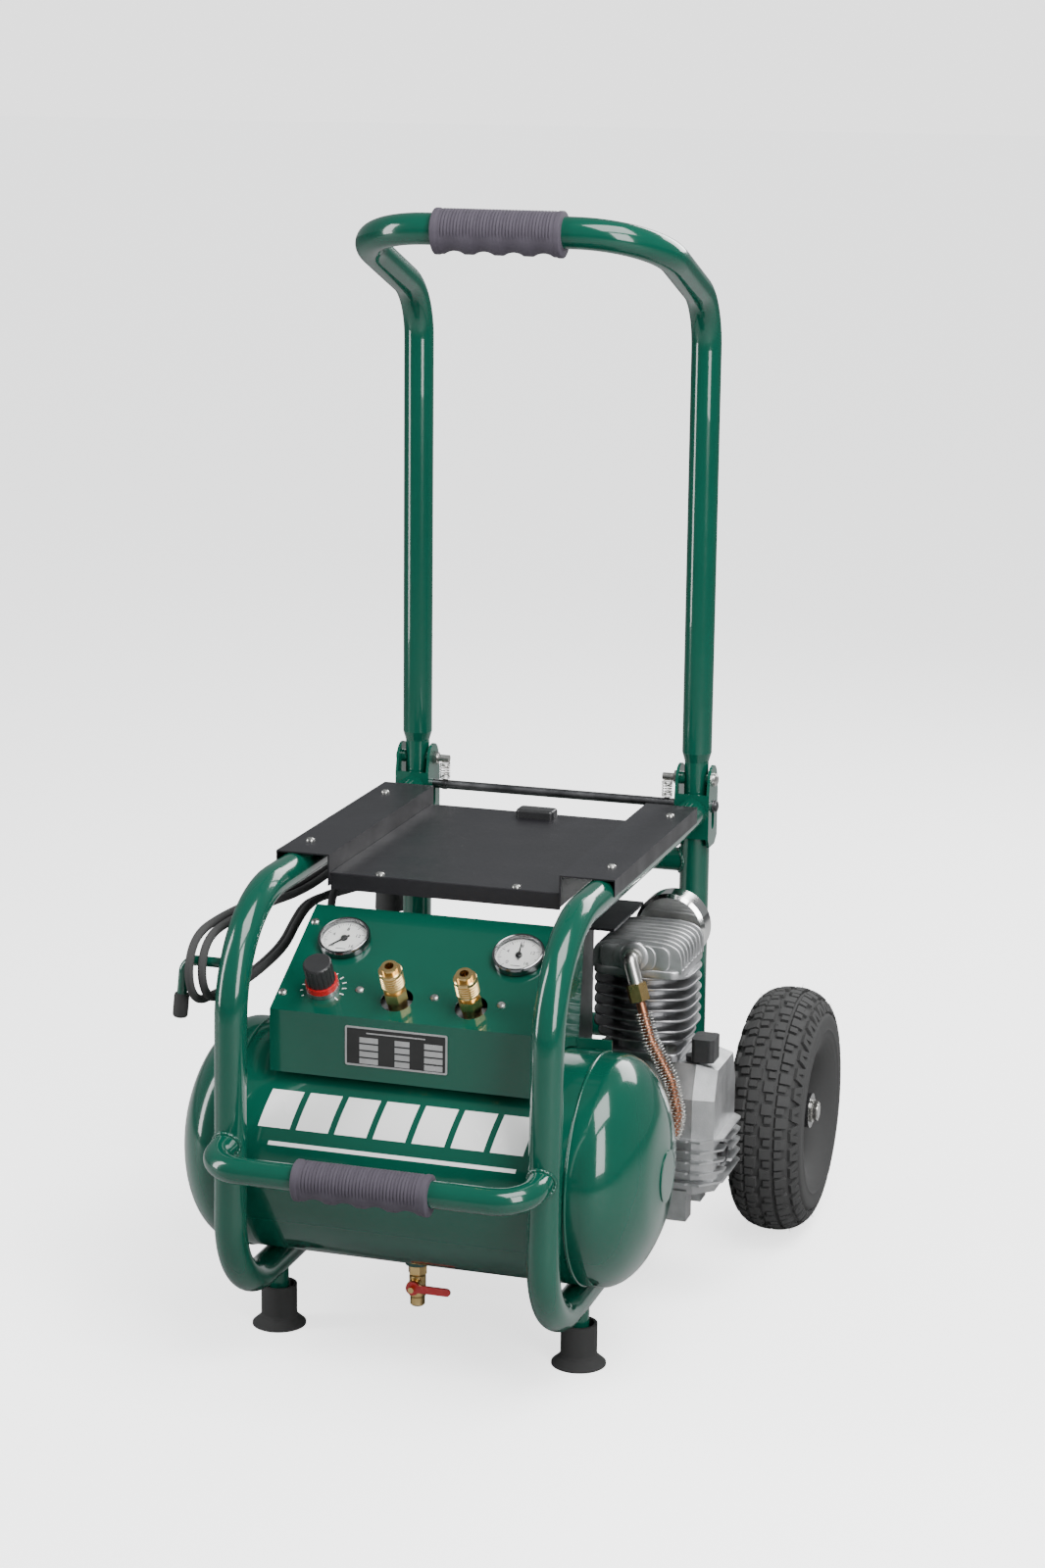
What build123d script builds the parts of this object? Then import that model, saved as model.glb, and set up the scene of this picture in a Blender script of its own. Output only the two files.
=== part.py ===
"""Wheeled site air compressor in a tube frame, with a fold-down trolley handle.

Frame of the model: millimetres, +Z up, -Y is the front with the gauges, +X to the right.
The origin is on the floor, under the middle of the machine's length and width.
"""
import os
from math import atan2, cos, degrees, pi, radians, sin, tan

from build123d import *

# ---- driving dimensions ---------------------------------------------------------------
TUBE_D = 31.8  # frame and handle tube, outside
TUBE_WALL = 1.6
FRAME_HALF = 159.0  # middle of the machine to a frame tube's centre line
FRAME_DEPTH = 552.0  # front tube to rear upright
RAIL_TOP_Z = 468.0  # centre of the upper rails, which carry the tray
RAIL_LOW_Z = 73.0  # centre of the lower rails, which carry tank and pump
BEND_TOP_R = 114.0
BEND_LOW_R = 83.0
FRONT_LEAN = 12.0  # the front tubes lean back by this much over their height
FIT = 0.3  # gap between pieces that don't touch
RUN = 0.05  # radial clearance of a running shaft
SHEET = 1.5  # folded sheet steel

LIFT_TUBE_D = 26.0  # front lifting bar
LIFT_REACH = 57.0  # front tube to the bar's centre line
LIFT_Z = 231.0
LIFT_WELD_Z = 238.0
LIFT_BEND_R = 34.0
GRIP_LEN = 136.0
GRIP_RUBBER = 4.8  # rubber over the tube on the upper side
FINGER_RIDGE = 4.0  # extra rubber on the finger side
FINGER_COUNT = 4

TANK_R = 114.6
TANK_WALL = 2.6
TANK_BACK = 134.6  # front tube to the tank's centre line
TANK_SHELL_HALF = 173.0
HEAD_FLANGE = 15.0  # straight part of a dished end
HEAD_DISH = 57.0

WHEEL_R = 134.0
TYRE_W = 82.0
WHEEL_X = 262.5
AXLE_GAP = 0.38  # clear space between the axle and the frame tube's lower bend
RIM_R = 58.0
RIM_W = 56.0
HUB_R = 19.0
AXLE_D = 16.0
BEARING_W = 12.0

HINGE_Z = 502.6  # handle pivot
LATCH_DROP = 29.1  # pivot to latch rod
LATCH_TRAVEL = 20.0
LATCH_D = 10.0
PIVOT_D = 8.0
BRACKET_T = 3.0
BRACKET_LOW_Z = 430.0
LEG_END_D = 26.0  # swaged lower end of a handle leg
SWAGE_Z = 522.0
SWAGE_LEN = 10.0
HANDLE_BEND_Z = 1012.0
HANDLE_TILT = 69.5  # bend of the handle's top towards the front, in degrees
HANDLE_ARM = 231.0  # from that bend to the cross bar
HANDLE_BEND_R = 70.0
HANDLE_CORNER_R = 83.0

FOOT_BACK = 129.0
FOOT_R = 18.3
FOOT_FLARE_R = 27.4
FOOT_H = 43.0
FOOT_FLOOR = 8.0  # rubber under the stub
STUB_R = 10.0

TRAY_Z = 485.6  # top of the tray's side covers
COVER_FRONT = 171.3
COVER_BACK = 492.0
COVER_OUT = 16.9  # cover edge outside the tube's centre line
COVER_IN = 39.4
COVER_SIDE_H = 17.0
PAN_DROP = 19.0  # covers' top to pan's top
PAN_LIP = 17.0

HOOD_HALF = 135.75  # control hood
FOLD_BACK = 50.4
FOLD_Z = 359.5
CREST_BACK = 179.1
CREST_Z = 431.5
SKIRT_Z = 296.9
HOOD_REAR_BACK = 207.0
HOOD_REAR_Z = 421.0
HOOD_FOOT_BACK = 187.0
GAUGE_X = 90.2
GAUGE_UP = 100.0  # up the sloping face from its fold
GAUGE_R = 26.6
KNOB_X = -91.3
KNOB_UP = 33.8
COUPLER_X = (-13.8, 61.8)
COUPLER_UP = 28.7
SOCKET_R = 4.6  # bore of a quick coupler

DRAIN_X = -12.0
DRAIN_LOW_Z = 37.0
DRAIN_LEVER_Z = 60.0

PUMP_X = 165.0  # cylinder axis
PUMP_BACK = 345.0
CRANK_Z = 185.0
CRANK_THROW = 12.0
ROD_LEN = 129.0
BORE_R = 30.0
CYL_TOP_Z = 352.0
CASE_TOP_Z = 262.0
CASE_HALF_X = 52.0
CASE_HALF_Y = 50.0
CASE_LOW_Z = 122.0
FIN_R = 54.0
HEAD_H = 32.0
MOTOR_R = 70.0
MOTOR_LEFT_X = -135.0
MOTOR_RIGHT_X = 52.0
FAN_R = 76.0
BASE_T = 4.0

CORD_D = 8.5
HOOK_D = 10.0
HOOK_Z = 408.0
HOOK_REACH = 55.0  # frame tube's centre line to the hook's bend

# ---- places worked out from them ------------------------------------------------------
TUBE_R = TUBE_D / 2
LIFT_R = LIFT_TUBE_D / 2
LIFT_GRIP_R = LIFT_R + GRIP_RUBBER
BEND_TO_AXLE = BEND_LOW_R + TUBE_R + AXLE_GAP + AXLE_D / 2
BEND_RISE = RAIL_LOW_Z + BEND_LOW_R - WHEEL_R
WHEEL_BACK = FRAME_DEPTH - BEND_LOW_R + (BEND_TO_AXLE ** 2 - BEND_RISE ** 2) ** 0.5
FRONT_Y = -(WHEEL_BACK + WHEEL_R - LIFT_REACH - LIFT_GRIP_R) / 2
REAR_Y = FRONT_Y + FRAME_DEPTH
TANK_Y = FRONT_Y + TANK_BACK
TANK_Z = RAIL_LOW_Z + TUBE_R + TANK_R + 0.2
AXLE_Y = FRONT_Y + WHEEL_BACK
AXLE_Z = WHEEL_R
LATCH_Z = HINGE_Z - LATCH_DROP
BRACKET_IN = TUBE_R + FIT
BRACKET_OUT = BRACKET_IN + BRACKET_T
WEB_TOP_Z = LATCH_Z + 15.0
UPRIGHT_TOP_Z = LATCH_Z - LATCH_TRAVEL - LATCH_D / 2 - 1.5
LEG_END_R = LATCH_DROP - LATCH_D / 2 - 2 * FIT
HANDLE_TOP_Y = REAR_Y - HANDLE_ARM * sin(radians(HANDLE_TILT))
HANDLE_TOP_Z = HANDLE_BEND_Z + HANDLE_ARM * cos(radians(HANDLE_TILT))
COVER_X0 = FRAME_HALF - COVER_IN
COVER_X1 = FRAME_HALF + COVER_OUT
PAN_Z = TRAY_Z - PAN_DROP
SLOPE_DEG = degrees(atan2(CREST_Z - FOLD_Z, CREST_BACK - FOLD_BACK))
SLOPE_UP = (0, cos(radians(SLOPE_DEG)), sin(radians(SLOPE_DEG)))
SLOPE_OUT = (0, -sin(radians(SLOPE_DEG)), cos(radians(SLOPE_DEG)))
PUMP_Y = FRONT_Y + PUMP_BACK
PIN_Z = CRANK_Z + CRANK_THROW + ROD_LEN  # piston pin at top dead centre
RAIL_TOP_SIDE_Z = RAIL_LOW_Z + TUBE_R
BASE_Z = RAIL_TOP_SIDE_Z + 0.2  # underside of the pump's base plate
HOOK_X = FRAME_HALF + HOOK_REACH
HOOK_Y = FRONT_Y + 27.0

os.makedirs("parts", exist_ok=True)


# ---- helpers --------------------------------------------------------------------------
def save(part, name):
    """Label a finished piece and write its STEP file."""
    part.label = name
    export_step(part, f"parts/{name}.step")


def slope_point(x, up, out=0.0):
    """A point on the hood's sloping face: across it, up it from the fold, and out of it."""
    return (
        x,
        FRONT_Y + FOLD_BACK + SLOPE_UP[1] * up + SLOPE_OUT[1] * out,
        FOLD_Z + SLOPE_UP[2] * up + SLOPE_OUT[2] * out,
    )


def slope_plane(x, up, out=0.0):
    """A sketch plane on the sloping face, X across and Y up the slope."""
    return Plane(origin=slope_point(x, up, out), x_dir=(1, 0, 0), z_dir=SLOPE_OUT)


def turned(profile, origin, direction):
    """A turned solid: a closed (radius, height) outline carried round an axis."""
    axis_dir = Vector(*direction).normalized()
    across = Vector(1, 0, 0) if abs(axis_dir.X) < 0.9 else Vector(0, 1, 0)
    radial = (across - axis_dir * across.dot(axis_dir)).normalized()
    with BuildPart() as solid:
        with BuildSketch(Plane(origin=origin, x_dir=radial, z_dir=radial.cross(axis_dir))):
            with BuildLine():
                Polyline(*profile, close=True)
            make_face()
        revolve(axis=Axis(origin, tuple(axis_dir)))
    return solid.part


def tube(points, radii, outside, bore=0.0):
    """A bent tube: straight runs joined by tangent arcs; bore 0 gives a solid bar."""
    with BuildPart() as solid:
        with BuildLine() as path:
            FilletPolyline(*points, radius=radii)
        with BuildSketch(Plane(origin=path.line @ 0, z_dir=path.line % 0)):
            Circle(outside / 2)
            if bore:
                Circle(bore / 2, mode=Mode.SUBTRACT)
        sweep()
    return solid.part


def bar(start, end, outside, bore=0.0):
    """A straight round bar or tube between two points."""
    run = Vector(*end) - Vector(*start)
    with BuildPart() as solid:
        with BuildSketch(Plane(origin=start, z_dir=tuple(run))):
            Circle(outside / 2)
            if bore:
                Circle(bore / 2, mode=Mode.SUBTRACT)
        extrude(amount=run.length)
    return solid.part


def block(x, y, z, edge=0.0):
    """A box from three (low, high) pairs, with its upright edges rounded by edge."""
    with BuildPart() as solid:
        with BuildSketch(Plane.XY.offset(z[0])):
            with Locations(((x[0] + x[1]) / 2, (y[0] + y[1]) / 2)):
                if edge:
                    RectangleRounded(x[1] - x[0], y[1] - y[0], edge)
                else:
                    Rectangle(x[1] - x[0], y[1] - y[0])
        extrude(amount=z[1] - z[0])
    return solid.part


def hexagon(plane, flats, height):
    """A hexagon prism, as a nut or a bolt head, standing on a plane."""
    with BuildPart() as solid:
        with BuildSketch(plane):
            RegularPolygon(radius=flats / 2, side_count=6, major_radius=False)
        extrude(amount=height)
    return solid.part


def button_screw(origin, direction, head_r, head_h, shank_r, shank_len):
    """A button head screw with a hexagon socket, head outside the sheet."""
    dome = [(0, 0), (head_r, 0), (head_r * 0.93, head_h * 0.5), (head_r * 0.55, head_h)]
    screw = turned([(0, -shank_len), (shank_r, -shank_len), (shank_r, 0)] + dome[1:] + [(0, head_h)],
                   origin, direction)
    return screw


def side_path(x):
    """Centre line of one bent side of the frame, from hinge bracket round to upright."""
    return [
        (x, REAR_Y - BRACKET_OUT, RAIL_TOP_Z),
        (x, FRONT_Y + FRONT_LEAN, RAIL_TOP_Z),
        (x, FRONT_Y, RAIL_LOW_Z),
        (x, REAR_Y, RAIL_LOW_Z),
        (x, REAR_Y, UPRIGHT_TOP_Z),
    ]


SIDE_RADII = [BEND_TOP_R, BEND_LOW_R, BEND_LOW_R]


def side_tube(x, bore):
    return tube(side_path(x), SIDE_RADII, TUBE_D, bore)


# ---- tube frame -----------------------------------------------------------------------
side_solids = {side: side_tube(side * FRAME_HALF, 0.0) for side in (-1, 1)}
for side, name in ((-1, "side_frame_left"), (1, "side_frame_right")):
    save(side_tube(side * FRAME_HALF, TUBE_D - 2 * TUBE_WALL), name)

CROSS_D = 25.4
CROSS_Z = BRACKET_LOW_Z - 6.0 - CROSS_D / 2
LOW_CROSS_Z = 215.0
with BuildPart() as cross_tubes:
    for height in (CROSS_Z, LOW_CROSS_Z):
        with BuildSketch(Plane.YZ.offset(-FRAME_HALF)):
            with Locations((REAR_Y, height)):
                Circle(CROSS_D / 2)
                Circle(CROSS_D / 2 - TUBE_WALL, mode=Mode.SUBTRACT)
        extrude(amount=2 * FRAME_HALF)
    for solid in side_solids.values():
        add(solid, mode=Mode.SUBTRACT)
save(cross_tubes.part, "rear_cross_tubes")

# stub tubes that the rubber feet are pushed on to
stub_low_z = FOOT_FLOOR
with BuildPart() as foot_stubs:
    for side in (-1, 1):
        with BuildSketch(Plane.XY.offset(stub_low_z)):
            with Locations((side * FRAME_HALF, FRONT_Y + FOOT_BACK)):
                Circle(STUB_R)
        extrude(amount=RAIL_LOW_Z - stub_low_z)
    for solid in side_solids.values():
        add(solid, mode=Mode.SUBTRACT)

FOOT_COLLAR_R = 15.2
FOOT_COLLAR_Z = FOOT_H - 12.0
foot_outline = [
    (0, 0), (FOOT_FLARE_R, 0), (FOOT_FLARE_R, 1.6), (FOOT_R + 1.2, 8.5), (FOOT_R, 12.0), (FOOT_R, FOOT_H),
    (FOOT_COLLAR_R, FOOT_H), (FOOT_COLLAR_R, FOOT_COLLAR_Z), (STUB_R, FOOT_COLLAR_Z),
    (STUB_R, FOOT_FLOOR), (0, FOOT_FLOOR),
]
feet = [turned(foot_outline, (side * FRAME_HALF, FRONT_Y + FOOT_BACK, 0), (0, 0, 1)) for side in (-1, 1)]
with BuildPart() as rubber_feet:
    add(feet)
save(rubber_feet.part, "rubber_feet")

# front lifting bar, coped on to the front tubes
lift_path = [
    (-FRAME_HALF, FRONT_Y + 6.0, LIFT_WELD_Z),
    (-FRAME_HALF, FRONT_Y - LIFT_REACH, LIFT_Z),
    (FRAME_HALF, FRONT_Y - LIFT_REACH, LIFT_Z),
    (FRAME_HALF, FRONT_Y + 6.0, LIFT_WELD_Z),
]
lift_solid = tube(lift_path, [LIFT_BEND_R, LIFT_BEND_R], LIFT_TUBE_D, LIFT_TUBE_D - 2 * TUBE_WALL)
with BuildPart() as lift_bar:
    add(lift_solid)
    for solid in side_solids.values():
        add(solid, mode=Mode.SUBTRACT)
save(lift_bar.part, "lift_bar")


def grip(inner_r, centre, finger_dir):
    """A moulded sleeve along X: round on top, a ridge with finger hollows on the other side."""
    outer_r = inner_r + GRIP_RUBBER
    down = Vector(*finger_dir).normalized()
    ridge = centre + down * FINGER_RIDGE
    pitch = GRIP_LEN / (FINGER_COUNT + 0.4)
    hollow_r = pitch * 0.62
    with BuildPart() as sleeve:
        with BuildSketch(Plane.YZ.offset(-GRIP_LEN / 2)):
            with Locations((centre.Y, centre.Z), (ridge.Y, ridge.Z)):
                Circle(outer_r)
            make_hull()
            with Locations((centre.Y, centre.Z)):
                Circle(inner_r, mode=Mode.SUBTRACT)
        extrude(amount=GRIP_LEN)
    out = sleeve.part
    deep = outer_r + FINGER_RIDGE + hollow_r - 3.4
    for index in range(FINGER_COUNT):
        x = (index - (FINGER_COUNT - 1) / 2) * pitch
        middle = centre + Vector(x, 0, 0) + down * deep
        across = Vector(1, 0, 0).cross(down) * 40
        out = out - bar(tuple(middle - across), tuple(middle + across), 2 * hollow_r)
    return out


lift_grip_centre = Vector(0, FRONT_Y - LIFT_REACH, LIFT_Z)
save(grip(LIFT_R, lift_grip_centre, (0, 0.25, -1)), "lift_grip")

# ---- air tank -------------------------------------------------------------------------
shell_end = TANK_SHELL_HALF
DISH_STEPS = 7


def dished_end(side):
    """A dished tank end: a short straight flange, then half an ellipse, of one wall thickness."""
    inner_r = TANK_R - TANK_WALL
    x0 = side * (shell_end + 0.4)
    with BuildPart() as end:
        with BuildSketch(Plane.XY):
            with BuildLine():
                a = Line((x0, inner_r), (x0, TANK_R))
                Line(a @ 1, (x0 + side * HEAD_FLANGE, TANK_R))
                c = Spline(
                    [(x0 + side * (HEAD_FLANGE + HEAD_DISH * sin(t)), TANK_R * cos(t))
                     for t in [k * pi / 2 / DISH_STEPS for k in range(DISH_STEPS + 1)]],
                    tangents=[(side, 0), (0, -1)],
                )
                Line(c @ 1, (x0 + side * (HEAD_FLANGE + HEAD_DISH - TANK_WALL), 0))
                e = Spline(
                    [(x0 + side * (HEAD_FLANGE + (HEAD_DISH - TANK_WALL) * sin(t)), inner_r * cos(t))
                     for t in [k * pi / 2 / DISH_STEPS for k in range(DISH_STEPS, -1, -1)]],
                    tangents=[(0, 1), (-side, 0)],
                )
                Line(e @ 1, a @ 0)
            make_face()
        revolve(axis=Axis.X)
    return end.part.moved(Location((0, TANK_Y, TANK_Z)))


BUNG_R = 12.5
tank_bottom_z = TANK_Z - TANK_R
shell_tube = bar((-shell_end, TANK_Y, TANK_Z), (shell_end, TANK_Y, TANK_Z), 2 * TANK_R,
    2 * (TANK_R - TANK_WALL))
CHECK_X = 150.0
CHECK_Z = TANK_Z - 8.0
drain_bung = bar((DRAIN_X, TANK_Y, tank_bottom_z + 6), (DRAIN_X, TANK_Y, tank_bottom_z - 8), 2 * BUNG_R,
    13.0)
check_bung = bar((CHECK_X, TANK_Y + TANK_R - 8, CHECK_Z), (CHECK_X, TANK_Y + TANK_R + 7, CHECK_Z),
    2 * BUNG_R, 13.0)
RISER_X = -30.0
RISER_Y = TANK_Y + 88.0
RISER_Z = TANK_Z + 94.0
riser_bung = bar((RISER_X, RISER_Y, TANK_Z + 58), (RISER_X, RISER_Y, RISER_Z), 2 * BUNG_R, 13.0)
tank_core = bar((-shell_end, TANK_Y, TANK_Z), (shell_end, TANK_Y, TANK_Z), 2 * (TANK_R - TANK_WALL))
with BuildPart() as air_tank:
    add(shell_tube)
    add([drain_bung, check_bung, riser_bung])
    add(tank_core, mode=Mode.SUBTRACT)
    add(bar((DRAIN_X, TANK_Y, TANK_Z), (DRAIN_X, TANK_Y, 0), 13.0), mode=Mode.SUBTRACT)
    add(bar((CHECK_X, TANK_Y, CHECK_Z), (CHECK_X, TANK_Y + TANK_R + 10, CHECK_Z), 13.0), mode=Mode.SUBTRACT)
    add(bar((RISER_X, RISER_Y, TANK_Z), (RISER_X, RISER_Y, TANK_Z + 200), 13.0), mode=Mode.SUBTRACT)
save(air_tank.part, "tank_shell")

tank_ends_solids = [dished_end(-1), dished_end(1)]
with BuildPart() as tank_ends:
    add(tank_ends_solids)
save(tank_ends.part, "tank_ends")

# ---- drain valve ----------------------------------------------------------------------
VALVE_R = 8.5
BOSS_R = 7.5
LEVER_GAP = 0.4
valve_outline = [
    (0, 0), (6.0, 0), (7.5, 1.5), (7.5, 9.0), (VALVE_R, 11.0), (VALVE_R, 32.0), (7.0, 34.0), (6.4, 36.0),
    (6.4, 60.0), (0, 60.0),
]
valve_core = turned(valve_outline, (DRAIN_X, TANK_Y, DRAIN_LOW_Z), (0, 0, 1))
valve_hex = hexagon(Plane.XY.offset(tank_bottom_z - 18.0).move(Location((DRAIN_X, TANK_Y, 0))), 17.0, 9.0)
valve_boss = bar((DRAIN_X, TANK_Y, DRAIN_LEVER_Z), (DRAIN_X, TANK_Y - 14.0, DRAIN_LEVER_Z), 2 * BOSS_R)
valve_stem = bar((DRAIN_X, TANK_Y - 13.0, DRAIN_LEVER_Z), (DRAIN_X, TANK_Y - 22.0, DRAIN_LEVER_Z), 6.0)
DRAIN_BORE_R = 3.0
with BuildPart() as drain_valve:
    add(valve_core)
    add([valve_hex, valve_boss, valve_stem])
    add(bar((DRAIN_X, TANK_Y, DRAIN_LOW_Z - 1), (DRAIN_X, TANK_Y, DRAIN_LOW_Z + 16.0), 2 * DRAIN_BORE_R),
        mode=Mode.SUBTRACT)
save(drain_valve.part, "drain_valve")

LEVER_LEN = 36.0
with BuildPart() as drain_lever:
    with BuildSketch(Plane.XZ.offset(-(TANK_Y - 14.0 - LEVER_GAP))):
        with Locations((DRAIN_X, DRAIN_LEVER_Z)):
            Circle(7.0)
        with Locations((DRAIN_X + LEVER_LEN / 2, DRAIN_LEVER_Z)):
            SlotOverall(LEVER_LEN + 8.0, 8.0)
        with Locations((DRAIN_X, DRAIN_LEVER_Z)):
            Circle(3.0 + RUN, mode=Mode.SUBTRACT)
    extrude(amount=2.5)
save(drain_lever.part, "drain_lever")

# ---- control hood ---------------------------------------------------------------------
TANK_CLEAR = 1.2
LOW_EDGE_Z = 284.0


def hood_outline(inset, low_z):
    """Side view of the hood, with each sheet set in by its thickness."""
    k = inset
    side = tan(radians(SLOPE_DEG / 2))
    return [
        (FRONT_Y + FOLD_BACK + k, low_z),
        (FRONT_Y + FOLD_BACK + k, FOLD_Z - k * side),
        (FRONT_Y + CREST_BACK, CREST_Z - 1.15 * k),
        (FRONT_Y + HOOD_REAR_BACK - k, HOOD_REAR_Z - k),
        (FRONT_Y + HOOD_FOOT_BACK - k, low_z),
    ]


tank_room = bar((-200, TANK_Y, TANK_Z), (200, TANK_Y, TANK_Z), 2 * (TANK_R + TANK_CLEAR))
HOOD_HOLES = {
    "gauge": [(-GAUGE_X, GAUGE_UP, 22.0), (GAUGE_X, GAUGE_UP, 22.0)],
    "knob": [(KNOB_X, KNOB_UP, 13.0)],
    "coupler": [(x, COUPLER_UP, 16.0) for x in COUPLER_X],
}
PANEL_SCREWS = [
    (-129.0, 122.5), (-130.0, 23.3), (-54.4, 36.6), (22.3, 36.2), (90.2, 35.5), (129.0, 122.5), (130.0,
        23.3),
]
SCREW_HEAD_R = 4.3
SCREW_SHANK_R = 2.0
with BuildPart() as control_hood:
    with BuildSketch(Plane.YZ.offset(-HOOD_HALF)):
        with BuildLine():
            Polyline(*hood_outline(0, LOW_EDGE_Z), close=True)
        make_face()
    extrude(amount=2 * HOOD_HALF)
    with BuildSketch(Plane.YZ.offset(-HOOD_HALF + SHEET)):
        with BuildLine():
            Polyline(*hood_outline(SHEET, LOW_EDGE_Z - 10), close=True)
        make_face()
    extrude(amount=2 * (HOOD_HALF - SHEET), mode=Mode.SUBTRACT)
    add(tank_room, mode=Mode.SUBTRACT)
    add(block((-200, 200), (FRONT_Y, FRONT_Y + FOLD_BACK + 12), (200, SKIRT_Z)), mode=Mode.SUBTRACT)
    for holes in HOOD_HOLES.values():
        for x, up, radius in holes:
            add(bar(slope_point(x, up, -8), slope_point(x, up, 8), 2 * radius), mode=Mode.SUBTRACT)
    for x, up in PANEL_SCREWS:
        add(bar(slope_point(x, up, -8), slope_point(x, up, 8), 2 * SCREW_SHANK_R), mode=Mode.SUBTRACT)
save(control_hood.part, "control_hood")

# plates that tie the hood and the tank to each other, one at each side
TIE_OUT_X = 172.0
with BuildPart() as tank_ties:
    for side in (-1, 1):
        low, high = sorted((side * (HOOD_HALF + FIT), side * TIE_OUT_X))
        add(block((low, high), (FRONT_Y + 184.0, FRONT_Y + 187.0), (TANK_Z + 60.0, TANK_Z + TANK_R)))
    add(tank_room, mode=Mode.SUBTRACT)

PLATE_W = 104.0
PLATE_H = 39.5
PLATE_X = -5.5
PLATE_Z = 331.2
with BuildPart() as nameplate:
    with BuildSketch(Plane.XZ.offset(-(FRONT_Y + FOLD_BACK - 0.05))):
        with Locations((PLATE_X, PLATE_Z)):
            RectangleRounded(PLATE_W, PLATE_H, 2.0)
    extrude(amount=0.8)
save(nameplate.part, "nameplate")

# gauges: case with its bezel, dial card, lens and needle
BEZEL_H = 9.0
case_outline = [
    (0, -24.0), (21.5, -24.0), (21.5, 0.1), (GAUGE_R, 0.1), (GAUGE_R, 6.0), (GAUGE_R - 1.4, BEZEL_H),
    (GAUGE_R - 3.6, BEZEL_H), (GAUGE_R - 3.6, 2.2), (2.0, 2.2), (2.0, 5.6), (0, 5.6),
]
dial_outline = [(2.1, 2.25), (GAUGE_R - 3.7, 2.25), (GAUGE_R - 3.7, 2.75), (2.1, 2.75)]
lens_outline = [(0, 7.2), (GAUGE_R - 3.7, 7.2), (GAUGE_R - 3.7, 8.4), (0, 8.4)]
gauge_places = [(-GAUGE_X, GAUGE_UP), (GAUGE_X, GAUGE_UP)]
for outline, name in ((case_outline, "gauge_cases"), (dial_outline, "gauge_dials"),
        (lens_outline, "gauge_lenses")):
    pieces = [turned(outline, slope_point(*place), SLOPE_OUT) for place in gauge_places]
    with BuildPart() as gauge_group:
        add(pieces)
    save(gauge_group.part, name)

NEEDLE_LEN = 17.5
NEEDLE_TAIL = 6.0


def needle(place, angle):
    """A gauge needle on its own spindle hole, turned by angle from straight up the slope."""
    turn = radians(angle)
    across = (cos(turn), sin(turn) * SLOPE_UP[1], sin(turn) * SLOPE_UP[2])
    plane = Plane(origin=slope_point(*place, 3.6), x_dir=across, z_dir=SLOPE_OUT)
    with BuildPart() as pointer:
        with BuildSketch(plane):
            with BuildLine():
                Polyline((-1.1, -NEEDLE_TAIL), (1.1, -NEEDLE_TAIL), (0.9, 0), (0.35, NEEDLE_LEN),
                         (-0.35, NEEDLE_LEN), (-0.9, 0), close=True)
            make_face()
            Circle(3.4)
            Circle(2.0 + RUN, mode=Mode.SUBTRACT)
        extrude(amount=0.8)
    return pointer.part


TANK_NEEDLE_ZERO = 135.0
save(needle(gauge_places[0], TANK_NEEDLE_ZERO), "tank_gauge_needle")
save(needle(gauge_places[1], 6.0), "outlet_gauge_needle")

# regulator: body under the hood joined to the manifold, lock ring and knob above it
KNOB_BASE_H = 5.0
RING_H = 6.0
KNOB_H = 24.0
knob_o = slope_point(KNOB_X, KNOB_UP)
bonnet_outline = [(0, -34.0), (19.0, -34.0), (19.0, -8.0), (12.6, -2.0), (12.6, 0.0), (12.6, 0.1),
    (16.5, 0.1),
                  (16.5, KNOB_BASE_H), (7.0, KNOB_BASE_H), (7.0, 22.0), (0, 22.0)]
ring_outline = [(7.1, KNOB_BASE_H + 0.05), (16.2, KNOB_BASE_H + 0.05), (16.2, KNOB_BASE_H + RING_H),
                (7.1, KNOB_BASE_H + RING_H)]
MANIFOLD_TOP = -12.0
manifold_len = COUPLER_X[1] - KNOB_X + 40.0
with BuildPart() as manifold_bar:
    with BuildSketch(slope_plane((KNOB_X + COUPLER_X[1]) / 2, COUPLER_UP, MANIFOLD_TOP - 22.0)):
        RectangleRounded(manifold_len, 24.0, 5.0)
    extrude(amount=22.0)
bonnet = turned(bonnet_outline, knob_o, SLOPE_OUT)
coupler_bores = [bar(slope_point(x, COUPLER_UP, MANIFOLD_TOP - 16),
    slope_point(x, COUPLER_UP, MANIFOLD_TOP + 2), 12.6)
                 for x in COUPLER_X]
with BuildPart() as regulator_manifold:
    add(manifold_bar.part)
    add(bonnet)
    add(coupler_bores, mode=Mode.SUBTRACT)
save(regulator_manifold.part, "regulator_manifold")
save(turned(ring_outline, knob_o, SLOPE_OUT), "regulator_lock_ring")

KNOB_R = 14.2
FLUTES = 18
knob_low = KNOB_BASE_H + RING_H + FIT
knob_outline = [(7.0 + RUN, knob_low), (KNOB_R, knob_low), (KNOB_R, knob_low + KNOB_H - 1.5),
                (KNOB_R - 1.5, knob_low + KNOB_H), (0, knob_low + KNOB_H), (0, 22.0 + FIT), (7.0 + RUN,
                    22.0 + FIT)]
flute_bars = [
    bar(slope_point(KNOB_X + (KNOB_R + 0.5) * cos(k * 2 * pi / FLUTES),
        KNOB_UP + (KNOB_R + 0.5) * sin(k * 2 * pi / FLUTES),
                    knob_low - 1),
        slope_point(KNOB_X + (KNOB_R + 0.5) * cos(k * 2 * pi / FLUTES),
            KNOB_UP + (KNOB_R + 0.5) * sin(k * 2 * pi / FLUTES),
                    knob_low + KNOB_H + 1), 2.4)
    for k in range(FLUTES)
]
with BuildPart() as regulator_knob:
    add(turned(knob_outline, knob_o, SLOPE_OUT))
    add(flute_bars, mode=Mode.SUBTRACT)
save(regulator_knob.part, "regulator_knob")

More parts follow.
